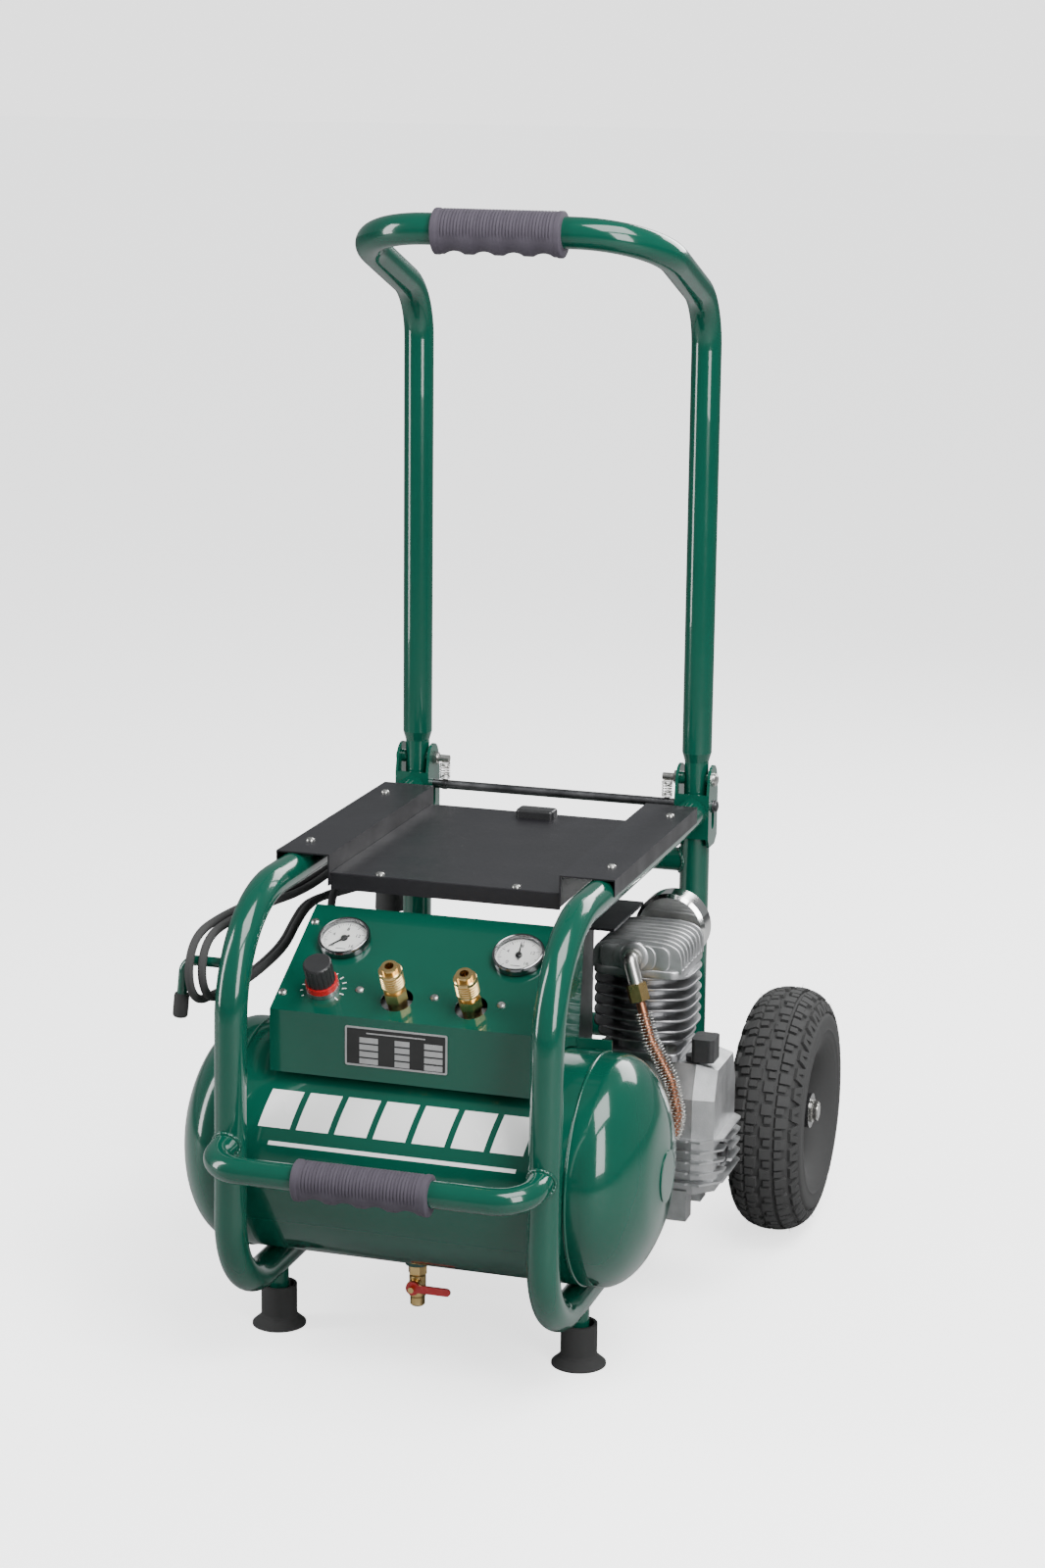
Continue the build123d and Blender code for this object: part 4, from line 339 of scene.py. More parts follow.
# name: darker and lighter colour (or a colour property and its spread), least and most roughness,
# and what differs from a plain finish
LOOKS = {
    "gloss_green_paint": ("paint", 0.06, (0.16, 0.22),
        dict(tone=6.0, grain=(140.0, 0.05, 0.0005), coat=0.7, coat_rough=0.02, specular=0.25)),
    "charcoal_powder_coat": ("tray", 0.12, (0.34, 0.44), dict(tone=10.0, grain=(1500.0, 0.22, 0.0003))),
    "grip_rubber": ((0.008, 0.0074, 0.0095), (0.012, 0.0113, 0.0135), (0.5, 0.62),
        dict(grain=(1800.0, 0.25, 0.0003), specular=0.15)),
    "foot_rubber": ((0.012, 0.014, 0.014), (0.018, 0.020, 0.020), (0.42, 0.6),
        dict(grain=(900.0, 0.2, 0.0004))),
    "tyre_rubber": ((0.005, 0.0047, 0.005), (0.010, 0.0097, 0.010), (0.42, 0.62),
        dict(tone=30.0, grain=(700.0, 0.22, 0.0005), specular=0.22)),
    "rim_black_paint": ((0.012, 0.012, 0.013), (0.02, 0.02, 0.021), (0.2, 0.34),
        dict(grain=(300.0, 0.06, 0.0004), coat=0.6, coat_rough=0.08)),
    "zinc_plated_steel": ((0.42, 0.42, 0.40), (0.62, 0.61, 0.58), (0.24, 0.4),
        dict(metallic=1.0, tone=60.0, grain=(900.0, 0.08, 0.0003))),
    "dark_oiled_steel": ((0.10, 0.10, 0.105), (0.17, 0.17, 0.175), (0.3, 0.46),
        dict(metallic=1.0, tone=50.0, grain=(900.0, 0.1, 0.0003))),
    "bright_chrome": ((0.68, 0.68, 0.67), (0.82, 0.82, 0.80), (0.06, 0.16),
        dict(metallic=1.0, tone=40.0, grain=(200.0, 0.02, 0.0003))),
    "smoked_bezel": ((0.16, 0.16, 0.165), (0.26, 0.26, 0.27), (0.14, 0.24),
        dict(metallic=1.0, tone=60.0, grain=(500.0, 0.03, 0.0003))),
    "machined_brass": ((0.62, 0.42, 0.17), (0.80, 0.58, 0.27), (0.2, 0.36),
        dict(metallic=1.0, tone=70.0, grain=(800.0, 0.1, 0.0003))),
    "bare_copper": ((0.30, 0.125, 0.075), (0.48, 0.21, 0.12), (0.3, 0.45),
        dict(metallic=1.0, tone=120.0, grain=(900.0, 0.1, 0.0003))),
    "cast_aluminium": ((0.36, 0.365, 0.37), (0.52, 0.525, 0.53), (0.34, 0.5),
        dict(metallic=1.0, tone=40.0, grain=(900.0, 0.35, 0.0005))),
    "sandblasted_casting": ((0.24, 0.24, 0.25), (0.40, 0.40, 0.41), (0.34, 0.5),
        dict(metallic=1.0, tone=50.0, grain=(800.0, 0.4, 0.0005))),
    "moulded_black": ((0.012, 0.012, 0.013), (0.022, 0.022, 0.023), (0.36, 0.5),
        dict(grain=(1400.0, 0.25, 0.0003))),
    "motor_enamel": ((0.014, 0.014, 0.015), (0.026, 0.026, 0.027), (0.3, 0.42),
        dict(grain=(500.0, 0.15, 0.0004), coat=0.3, coat_rough=0.2)),
    "red_moulding": ((0.42, 0.010, 0.014), (0.56, 0.016, 0.02), (0.22, 0.36),
        dict(grain=(900.0, 0.08, 0.0003), coat=0.4, coat_rough=0.1)),
    "dial_card": ((0.72, 0.72, 0.70), (0.80, 0.80, 0.78), (0.5, 0.62),
        dict(grain=(1200.0, 0.02, 0.0002))),
    "black_print": ((0.010, 0.010, 0.010), (0.016, 0.016, 0.016), (0.4, 0.5),
        dict(grain=(900.0, 0.02, 0.0002))),
    "white_print": ((0.80, 0.80, 0.79), (0.86, 0.86, 0.85), (0.2, 0.28),
        dict(tone=5.0, grain=(140.0, 0.04, 0.0004), coat=0.8, coat_rough=0.03)),
    "etched_silver": ((0.5, 0.5, 0.5), (0.62, 0.62, 0.62), (0.26, 0.4),
        dict(metallic=0.9, tone=60.0, grain=(1600.0, 0.1, 0.0002))),
    "cord_rubber": ((0.016, 0.016, 0.016), (0.028, 0.028, 0.028), (0.4, 0.55),
        dict(grain=(900.0, 0.15, 0.0003))),
}


def look(name):
    """The finish of that name, made when it is first asked for."""
    if name == "gauge_glass":
        return clear_lens()
    dark, light, rough, rest = LOOKS[name]
    if isinstance(dark, str):
        dark, light = shades(tuple(getattr(bpy.context.scene.compressor_colours, dark)), light)
    return finish(name, dark, light, rough, **rest)


def clear_lens():
    made = bpy.data.materials.get("gauge_glass")
    if made:
        return made
    made = bpy.data.materials.new("gauge_glass")
    made.use_nodes = True
    shader = made.node_tree.nodes["Principled BSDF"]
    shader.inputs["Base Color"].default_value = (1, 1, 1, 1)
    shader.inputs["Transmission Weight"].default_value = 1.0
    shader.inputs["Roughness"].default_value = 0.02
    shader.inputs["IOR"].default_value = 1.12
    return made


def paint(target, material):
    target.data.materials.clear()
    target.data.materials.append(material)


def piece(target, material, body, slot, *replaced):
    """Gives a new piece its finish, the body it rides on, and the plain solids it stands for."""
    paint(target, material)
    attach(target, body)
    if replaced:
        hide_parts(*replaced)
    return target


def machine_piece(name, parts, smooth, finish_name, slot, *replaced):
    """One piece of the machine's own body, from several surfaces."""
    return piece(new_object(name, *joined(parts), smooth), look(finish_name), "machine", slot, *replaced)


# ---- what a user would change ----
class CompressorColours(bpy.types.PropertyGroup):
    """Colours of the painted parts."""
    paint: bpy.props.FloatVectorProperty(name="Frame paint",
        description="Gloss paint of frame, tank and panel", subtype="COLOR", size=3, min=0, max=1,
        default=(0.0, 0.058, 0.036))
    tray: bpy.props.FloatVectorProperty(name="Tray coat", description="Powder coat of the tool tray",
        subtype="COLOR", size=3, min=0, max=1, default=(0.008, 0.0075, 0.0095))


class CompressorSizes(bpy.types.PropertyGroup):
    """Sizes of the details that are added to the frame."""
    tread_depth: bpy.props.FloatProperty(name="Tread depth", description="Height of the tyre's blocks",
        subtype="DISTANCE", unit="LENGTH", default=0.0038)
    tread_pitch: bpy.props.IntProperty(name="Tread blocks", description="Blocks in one row round a tyre",
        default=34, min=12, max=80)
    rib_depth: bpy.props.FloatProperty(name="Rib depth", description="Height of a grip's cross ribs",
        subtype="DISTANCE", unit="LENGTH", default=0.0009)
    rib_count: bpy.props.IntProperty(name="Grip ribs", description="Cross ribs on one grip", default=36,
        min=8, max=80)
    cord_diameter: bpy.props.FloatProperty(name="Cord diameter",
        description="Outside diameter of the power cord", subtype="DISTANCE", unit="LENGTH",
        default=0.0085)
    spring_turns: bpy.props.IntProperty(name="Spring turns", description="Coils of a latch spring",
        default=8, min=3, max=20)
    bead: bpy.props.FloatProperty(name="Weld bead", description="Half width of a weld bead",
        subtype="DISTANCE", unit="LENGTH", default=0.0021)


# ---- the stage ----
class COMPRESSOR_OT_stage(bpy.types.Operator):
    """Camera, soft studio lights, pale floor"""
    bl_idname = "compressor.stage"
    bl_label = "Stage"

    def execute(self, context):
        azimuth, elevation, roll = math.radians(17.25), math.radians(13.155), math.radians(0.632)
        forward = Vector((-math.sin(azimuth) * math.cos(elevation),
            math.cos(azimuth) * math.cos(elevation), -math.sin(elevation)))
        level = Vector((math.cos(azimuth), math.sin(azimuth), 0))
        upright = level.cross(forward)
        right = level * math.cos(roll) + upright * math.sin(roll)
        up = upright * math.cos(roll) - level * math.sin(roll)
        lens = bpy.data.cameras.new("camera")
        lens.sensor_width = 36.0
        lens.lens = 74.13
        lens.clip_end = 100.0
        camera = bpy.data.objects.new("camera", lens)
        turn = Matrix((right, up, -forward)).transposed().to_4x4()
        camera.matrix_world = Matrix.Translation((0.9859, -3.0594, 1.2871)) @ turn
        context.scene.collection.objects.link(camera)
        context.scene.camera = camera

        self.light("key_box", (1.75, -1.55, 1.35), (0.05, -0.1, 0.35), (0.9, 1.7), 62.0)
        self.light("left_box", (-1.9, -0.9, 1.1), (0.0, -0.1, 0.45), (0.5, 1.9), 44.0)
        self.light("top_box", (1.0, -0.75, 2.8), (0.0, 0.0, 0.3), (1.8, 1.6), 105.0)
        self.light("back_box", (0.9, 2.3, 1.9), (0.0, 0.1, 0.5), (1.8, 1.2), 60.0)

        world = bpy.data.worlds.new("studio")
        world.use_nodes = True
        nodes = world.node_tree.nodes
        backdrop = nodes["Background"]
        backdrop.inputs["Color"].default_value = (1, 1, 1, 1)
        backdrop.inputs["Strength"].default_value = 2.25
        room = nodes.new("ShaderNodeBackground")
        room.inputs["Color"].default_value = (0.86, 0.9, 0.92, 1)
        room.inputs["Strength"].default_value = 0.32
        self.for_camera(world.node_tree, room.outputs["Background"], backdrop.outputs["Background"],
            nodes["World Output"].inputs["Surface"])
        context.scene.world = world

        corners = FLOOR_REACH * np.array([[-1, -1, 0], [1, -1, 0], [1, 1, 0], [-1, 1, 0]])
        floor = new_object("studio_floor", corners, [[0, 1, 2, 3]], weld=False)
        paint(floor, self.floor_finish())
        return {"FINISHED"}

    def floor_finish(self):
        """A white floor that throws only a little light back at the machine."""
        made = bpy.data.materials.new("pale_floor")
        made.use_nodes = True
        nodes = made.node_tree.nodes
        bright = nodes["Principled BSDF"]
        dim = nodes.new("ShaderNodeBsdfPrincipled")
        for shader, tone in ((bright, 0.95), (dim, 0.34)):
            shader.inputs["Base Color"].default_value = (tone, tone, tone, 1)
            shader.inputs["Roughness"].default_value = 0.7
        bright.inputs["Emission Color"].default_value = (1, 1, 1, 1)
        bright.inputs["Emission Strength"].default_value = 1.9
        self.for_camera(made.node_tree, dim.outputs["BSDF"], bright.outputs["BSDF"],
            nodes["Material Output"].inputs["Surface"])
        return made

    def for_camera(self, tree, dim, bright, target):
        """Joins two shaders: camera rays meet the bright one, every other ray the dim one."""
        seen = tree.nodes.new("ShaderNodeLightPath")
        mix = tree.nodes.new("ShaderNodeMixShader")
        tree.links.new(seen.outputs["Is Camera Ray"], mix.inputs["Fac"])
        tree.links.new(dim, mix.inputs[1])
        tree.links.new(bright, mix.inputs[2])
        tree.links.new(mix.outputs["Shader"], target)

    def light(self, name, place, target, size, power):
        lamp = bpy.data.lights.new(name, "AREA")
        lamp.shape = "RECTANGLE"
        lamp.size, lamp.size_y = size
        lamp.energy = power
        made = bpy.data.objects.new(name, lamp)
        made.location = place
        made.rotation_euler = (Vector(target) - Vector(place)).to_track_quat("-Z", "Y").to_euler()
        bpy.context.scene.collection.objects.link(made)


# ---- power cord ----
# the cord's route: across, back from the front tubes' centre line, height, in metres
CORD_ROUTE = (
    (-0.0741, 0.2430, 0.3700), (-0.1180, 0.2430, 0.3700), (-0.1580, 0.2750, 0.3860),
    (-0.1780, 0.3350, 0.4020), (-0.1840, 0.4100, 0.4130), (-0.1880, 0.5050, 0.4200),
    (-0.1880, 0.5642, 0.4220), (-0.1882, 0.5803, 0.3940), (-0.1884, 0.5642, 0.3660),
    (-0.1888, 0.5060, 0.3680), (-0.1892, 0.4300, 0.3810), (-0.1898, 0.3520, 0.3930),
    (-0.1902, 0.2960, 0.3960), (-0.1904, 0.2620, 0.3840), (-0.1906, 0.2360, 0.3700),
    (-0.1908, 0.1960, 0.3640), (-0.1910, 0.1300, 0.3610), (-0.1910, 0.0800, 0.3640),
    (-0.1910, 0.0290, 0.3680), (-0.1912, 0.0105, 0.4000), (-0.1914, 0.0290, 0.4320),
    (-0.1920, 0.0920, 0.4330), (-0.1935, 0.1900, 0.4240), (-0.1955, 0.2950, 0.4100),
    (-0.1970, 0.4000, 0.4100), (-0.1975, 0.5050, 0.4200), (-0.1975, 0.5642, 0.4220),
    (-0.1977, 0.5803, 0.3940), (-0.1979, 0.5642, 0.3660), (-0.1984, 0.5060, 0.3650),
    (-0.1992, 0.4300, 0.3760), (-0.2004, 0.3520, 0.3880), (-0.2012, 0.3100, 0.3900),
    (-0.2018, 0.2800, 0.3780), (-0.2022, 0.2520, 0.3640), (-0.2026, 0.2050, 0.3580),
    (-0.2030, 0.1400, 0.3560), (-0.2030, 0.0840, 0.3600), (-0.2030, 0.0264, 0.3650),
    (-0.2032, 0.0067, 0.3990), (-0.2034, 0.0264, 0.4330), (-0.2038, 0.0950, 0.4345),
    (-0.2046, 0.1950, 0.4260), (-0.2056, 0.3000, 0.4130), (-0.2066, 0.4050, 0.4120),
    (-0.2070, 0.4920, 0.4190), (-0.2070, 0.5400, 0.4225), (-0.2070, 0.5780, 0.4200),
    (-0.2070, 0.5970, 0.3940), (-0.2070, 0.5980, 0.3640),
)


class COMPRESSOR_OT_cord(bpy.types.Operator):
    """Power cord wound over its two hooks; its plug and strain relief stay as the frame has them"""
    bl_idname = "compressor.cord"
    bl_label = "Power cord"

    def execute(self, context):
        sizes = context.scene.compressor_sizes
        curve = bpy.data.curves.new("power_cord_line", "CURVE")
        curve.dimensions = "3D"
        line = curve.splines.new("NURBS")
        route = np.array(CORD_ROUTE) + np.array([0.0, FRONT_Y, 0.0])
        line.points.add(len(route) - 1)
        line.points.foreach_set("co", np.c_[route, np.ones(len(route))].ravel())
        line.order_u = 3
        line.use_endpoint_u = True
        line.resolution_u = 8
        curve.bevel_depth = sizes.cord_diameter / 2
        curve.bevel_resolution = 4
        curve.use_fill_caps = True
        cord = bpy.data.objects.new("rubber_power_cord", curve)
        context.scene.collection.objects.link(cord)
        cord.data.materials.append(look("cord_rubber"))
        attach(cord, "machine")
        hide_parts("power_cord")
        return {"FINISHED"}


# ---- bare pieces of the frame ----
FINISHES = {
    "gloss_green_paint": ("side_frame_left", "side_frame_right", "rear_cross_tubes", "lift_bar",
        "tank_shell", "tank_ends", "welded_plates", "handle_tube", "hinge_brackets", "control_hood",
        "cord_hooks"),
    "charcoal_powder_coat": ("tray_pan", "tray_covers", "fan_cowl"),
    "foot_rubber": ("rubber_feet",),
    "rim_black_paint": ("rim_left", "rim_right"),
    "zinc_plated_steel": ("axle", "pivot_bolts", "machine_screws", "pump_bolts", "crankshaft",
        "discharge_elbow"),
    "dark_oiled_steel": ("latch_rod",),
    "bright_chrome": ("air_filter",),
    "smoked_bezel": ("gauge_cases",),
    "machined_brass": ("drain_valve", "coupler_bodies", "coupler_sleeve_left", "coupler_sleeve_right",
        "brass_fittings"),
    "cast_aluminium": ("crankcase", "crankcase_cover", "cylinder_head", "regulator_manifold",
        "connecting_rod", "piston"),
    "motor_enamel": ("motor_housing",),
    "moulded_black": ("regulator_knob", "pressure_switch", "tray_catch", "oil_filler", "cooling_fan"),
    "red_moulding": ("drain_lever", "regulator_lock_ring"),
    "dial_card": ("gauge_dials",),
    "gauge_glass": ("gauge_lenses",),
    "black_print": ("tank_gauge_needle", "outlet_gauge_needle"),
    "cord_rubber": ("cord_plug", "strain_relief"),
    "etched_silver": ("nameplate",),
}


class COMPRESSOR_OT_finishes(bpy.types.Operator):
    """Paint, plating and castings of the pieces kept as the frame has them"""
    bl_idname = "compressor.finishes"
    bl_label = "Finishes"

    def execute(self, context):
        for finish_name, names in FINISHES.items():
            for name in names:
                paint(NODES[name], look(finish_name))
        return {"FINISHED"}


# ---- wheels ----
WHEEL_MIDDLE = 0.2625
SECTION_R, SECTION_UP, SECTION_DOWN, SECTION_HALF = 0.098, 0.0358, 0.0468, 0.0408
SECTION_POWER = 2 / 2.3


def tyre_point(turn, around, lift):
    """The tyre's surface: a superellipse section at angle turn (a quarter turn is the crown), carried
    round the axle by angle around, raised by lift along the section's own radius."""
    high = np.where(np.sin(turn) >= 0, SECTION_UP, SECTION_DOWN)
    x = (SECTION_HALF + lift) * np.sign(np.cos(turn)) * np.abs(np.cos(turn)) ** SECTION_POWER
    radius = SECTION_R + (high + lift) * np.sign(np.sin(turn)) * np.abs(np.sin(turn)) ** SECTION_POWER
    return np.stack([x, radius * np.cos(around), radius * np.sin(around)], -1)


def tread_patches(turn_low, turn_high, starts, length, depth, slant=0.0):
    """Blocks of tread: for each start angle, a small grid on the tyre's surface whose inner points are
    raised to the full height and whose rim is sunk into the carcass; slant leans it round the tyre."""
    a = np.array([0.0, 0.07, 0.36, 0.64, 0.93, 1.0])
    b = np.array([0.0, 0.06, 0.35, 0.65, 0.94, 1.0])
    up_a = np.array([0, 1, 1, 1, 1, 0.0])
    grid_a, grid_b = np.meshgrid(a, b, indexing="ij")
    high = np.minimum.outer(up_a, up_a)
    turn = turn_low + (turn_high - turn_low) * grid_a
    around = np.asarray(starts)[:, None, None] + length * grid_b + slant * grid_a
    lift = np.broadcast_to(np.where(high > 0, 0.0, -depth - 0.0006), around.shape)
    points = tyre_point(np.broadcast_to(turn, around.shape), around, lift)
    one = grid_faces(6, 6)
    faces = (one[None] + 36 * np.arange(len(starts))[:, None, None]).reshape(-1, 4)
    return points.reshape(-1, 3), faces


def crown_turn(x):
    """Section angle of a place x across the tread."""
    return np.arccos(np.sign(x) * (abs(x) / SECTION_HALF) ** (1 / SECTION_POWER))


class COMPRESSOR_OT_tyres(bpy.types.Operator):
    """Two tyres: a superellipse section turned round the axle, with rows of raised blocks"""
    bl_idname = "compressor.tyres"
    bl_label = "Tyres"

    def execute(self, context):
        sizes = context.scene.compressor_sizes
        count, depth = sizes.tread_pitch, sizes.tread_depth
        pitch = TAU / count
        parts = [self.carcass(depth)]
        rows = ((-0.0305, -0.0172), (-0.0146, -0.0012), (0.0012, 0.0146), (0.0172, 0.0305))
        for row, (low, high) in enumerate(rows):
            starts = np.arange(count) * pitch + (row % 2) * pitch / 2 + row * 0.01
            parts.append(tread_patches(crown_turn(high), crown_turn(low), starts, pitch * 0.52, depth))
            inner, outer = (low, high - 0.0042) if row % 2 else (low + 0.0042, high)
            parts.append(tread_patches(crown_turn(outer), crown_turn(inner), starts + pitch * 0.58,
                pitch * 0.30, depth))
        for side in (1, -1):
            edge = np.radians([15.0, 39.0]) if side > 0 else np.radians([165.0, 141.0])
            starts = np.arange(count) * pitch
            for slant, shift in ((pitch * 0.22, 0.0), (-pitch * 0.22, pitch * 0.66)):
                low, high = min(edge), max(edge)
                parts.append(tread_patches(low, high, starts + shift, pitch * 0.36, depth * 0.8,
                    slant if side > 0 else -slant))
        parts.append(self.hairs(count))
        points, faces = joined(parts)
        for side, name, body in ((-1, "tyre_left", "wheel_left"), (1, "tyre_right", "wheel_right")):
            middle = np.array([side * WHEEL_MIDDLE, AXLE_Y, WHEEL_R])
            moved = points * np.array([side, 1, 1]) + middle
            moved[:, 2] = np.maximum(moved[:, 2], 0.0001)
            made = new_object("treaded_" + name, moved, faces, smooth=35)
            piece(made, look("tyre_rubber"), body, "tyre_rubber", name)
        return {"FINISHED"}

    def carcass(self, depth):
        """The closed section below the blocks, with fine rings moulded in its side walls."""
        turn = np.arange(96) * TAU / 96
        around = np.arange(144) * TAU / 144
        grid_turn, grid_around = np.meshgrid(turn, around, indexing="ij")
        tread = np.clip((np.sin(grid_turn) - 0.18) / 0.12, 0, 1)
        wall = np.clip(1 - np.abs(np.sin(grid_turn) + 0.15) / 0.3, 0, 1)
        lift = -depth * tread + 0.0007 * wall * np.cos(grid_turn * 44)
        return tyre_point(grid_turn, grid_around, lift).reshape(-1, 3), grid_faces(96, 144, True, True)

    def hairs(self, count):
        """Moulding hairs: thin cones standing on the crown at spread angles."""
        around = np.arange(count * 2) * GOLDEN_ANGLE
        turn = math.pi / 2 + 0.9 * np.sin(np.arange(count * 2) * 1.7)
        tip = tyre_point(turn, around + 0.01, np.full(len(around), 0.0036))
        corner = np.arange(3) * TAU / 3
        foot = tyre_point(turn[:, None] + 0.011 * np.cos(corner),
            around[:, None] + 0.003 * np.sin(corner), -0.001)
        thin = np.concatenate([foot, tip[:, None], tip[:, None] + 0.0002], 1)
        one = np.array([[0, 1, 4, 3], [1, 2, 4, 3], [2, 0, 3, 4]])
        faces = one[None] + 5 * np.arange(len(thin))[:, None, None]
        return thin.reshape(-1, 3), faces.reshape(-1, 4)


# ---- grips ----
GRIP_HALF, GRIP_WALL = 0.068, 0.0046
HOLLOW_PITCH, HOLLOW_R, HOLLOW_DEEP = 0.0309, 0.0192, 0.0034
RIBBED_SPAN = 0.122


class COMPRESSOR_OT_grips(bpy.types.Operator):
    """Two rubber grips: a tube whose radius swells on the finger side, dips in four finger hollows,
    and carries cross ribs over the rest"""
    bl_idname = "compressor.grips"
    bl_label = "Grips"

    def execute(self, context):
        sizes = context.scene.compressor_sizes
        for name, centre, inner, finger, body in (("handle_grip", (0, 0.0190, 1.0929), 0.0159,
                (0.2, -1.0), "handle"), ("lift_grip", (0, -0.3736, 0.231), 0.0130, (0.25, -1.0),
                "machine")):
            along = np.linspace(-GRIP_HALF, GRIP_HALF, 272)
            angle = np.arange(72) * TAU / 72
            finger_angle = math.atan2(finger[1], -finger[0])
            facing = np.cos(angle - finger_angle)[None, :]
            x = along[:, None]
            hollow = np.zeros_like(along)
            for k in range(4):
                off = np.abs(along - (k - 1.5) * HOLLOW_PITCH)
                dip = HOLLOW_DEEP - HOLLOW_R + np.sqrt(np.clip(HOLLOW_R ** 2 - off ** 2, 0, None))
                hollow = np.maximum(hollow, dip)
            swell = 0.0040 * np.clip(facing, 0, None)
            dips = hollow[:, None] * np.clip(facing, 0, 1) ** 0.7
            ribbed = np.clip((0.25 - facing) / 0.3, 0, 1) * np.clip((0.0595 - np.abs(x)) / 0.002, 0, 1)
            wave = np.clip(0.5 + 1.6 * np.cos(x * TAU * sizes.rib_count / RIBBED_SPAN), 0, 1)
            collar = 0.0008 * np.clip((np.abs(x) - 0.0605) / 0.0015, 0, 1)
            radius = inner + GRIP_WALL + swell - dips + sizes.rib_depth * (wave - 0.5) * ribbed + collar
            end = np.clip((GRIP_HALF - np.abs(along)) / 0.0022, 0, 1)[:, None]
            radius = inner - 0.0004 + (radius - inner + 0.0004) * np.sqrt(1 - (1 - end) ** 2)
            path = np.c_[along + centre[0], np.full(len(along), centre[1]),
                np.full(len(along), centre[2])]
            points, faces = pipe(path, radius, 72)
            piece(new_object("ribbed_" + name, points, faces, 50), look("grip_rubber"), body,
                "grip_rubber", name)
        return {"FINISHED"}


# ---- latch springs ----
class COMPRESSOR_OT_springs(bpy.types.Operator):
    """Latch springs: a round wire along a helix whose pitch closes up at both ends"""
    bl_idname = "compressor.springs"
    bl_label = "Latch springs"

    def execute(self, context):
        turns = context.scene.compressor_sizes.spring_turns
        t = np.linspace(0, 1, turns * 20 + 1)
        climb = t - 0.055 * np.sin(TAU * t)
        top, low = 0.4976, 0.4803
        for side, name in ((-1, "left"), (1, "right")):
            a = TAU * turns * t
            path = np.c_[side * 0.1268 + LATCH_COIL_R * np.cos(a), REAR_Y + LATCH_COIL_R * np.sin(a),
                top - (top - low) * climb]
            points, faces = pipe(path, 0.0006, 8, (0.1, 0, 1))
            made = new_object("coiled_latch_spring_" + name, points, faces, 60)
            paint(made, look("zinc_plated_steel"))
            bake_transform(made)
            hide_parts("latch_springs")
        return {"FINISHED"}


# ---- discharge line ----
def rounded_path(corners, radii, step=0.0006):
    """A line through corner points, each corner replaced by an arc tangent to both its sides."""
    corners = [np.array(c, float) for c in corners]
    points = [corners[0][None]]
    for before, here, after, radius in zip(corners, corners[1:], corners[2:], radii):
        a, b = before - here, after - here
        a, b = a / np.linalg.norm(a), b / np.linalg.norm(b)
        half = math.acos(np.clip(a @ b, -1, 1)) / 2
        reach = radius / math.tan(half)
        centre = here + (a + b) / np.linalg.norm(a + b) * radius / math.sin(half)
        start, end = here + a * reach - centre, here + b * reach - centre
        sweep = math.pi - 2 * half
        t = np.linspace(0, 1, 16)[:, None]
        points.append(centre + (np.sin((1 - t) * sweep) * start
            + np.sin(t * sweep) * end) / math.sin(sweep))
    points.append(corners[-1][None])
    rough = np.concatenate(points)
    length = np.r_[0, np.cumsum(np.linalg.norm(np.diff(rough, axis=0), axis=1))]
    even = np.linspace(0, length[-1], int(length[-1] / step))
    return np.stack([np.interp(even, length, rough[:, k]) for k in range(3)], 1), even


class COMPRESSOR_OT_discharge(bpy.types.Operator):
    """Finned discharge line: a copper tube, and a separate wire fin wound round it once a pitch, whose
    distance from the tube is lobed round the tube"""
    bl_idname = "compressor.discharge"
    bl_label = "Discharge line"

    def execute(self, context):
        corners = ((0.1761, -0.0421, 0.3327), (0.189, -0.0486, 0.296), (0.211, -0.0486, 0.256),
            (0.219, -0.0496, 0.222), (0.215, -0.0473, 0.1957), (0.1741, -0.0473, 0.1957))
        path, run = rounded_path(corners, (0.024, 0.030, 0.020, 0.011))
        points, faces = pipe(path, 0.0050, 20, (0.2, 1, 0))
        piece(new_object("copper_discharge_core", points, faces, 70), look("bare_copper"), "machine",
            "brass", "discharge_tube")
        fine = np.arange(0.011, run[-1] - 0.017, 0.00004)
        middle = np.stack([np.interp(fine, run, path[:, k]) for k in range(3)], 1)
        along = np.gradient(middle, axis=0)
        along /= np.linalg.norm(along, axis=1)[:, None]
        across = np.cross(along, (0.2, 1.0, 0.0))
        across /= np.linalg.norm(across, axis=1)[:, None]
        third = np.cross(across, along)
        turn = fine * TAU / 0.0031
        reach = 0.0071 + 0.0023 * np.cos(turn * 10.37)
        wire = middle + reach[:, None] * (np.cos(turn)[:, None] * across + np.sin(turn)[:, None] * third)
        points, faces = pipe(wire, 0.00042, 5, (0.31, 0.17, 0.93))
        piece(new_object("wound_wire_fin", points, faces, 80), look("zinc_plated_steel"), "machine",
            "bright_steel")
        return {"FINISHED"}


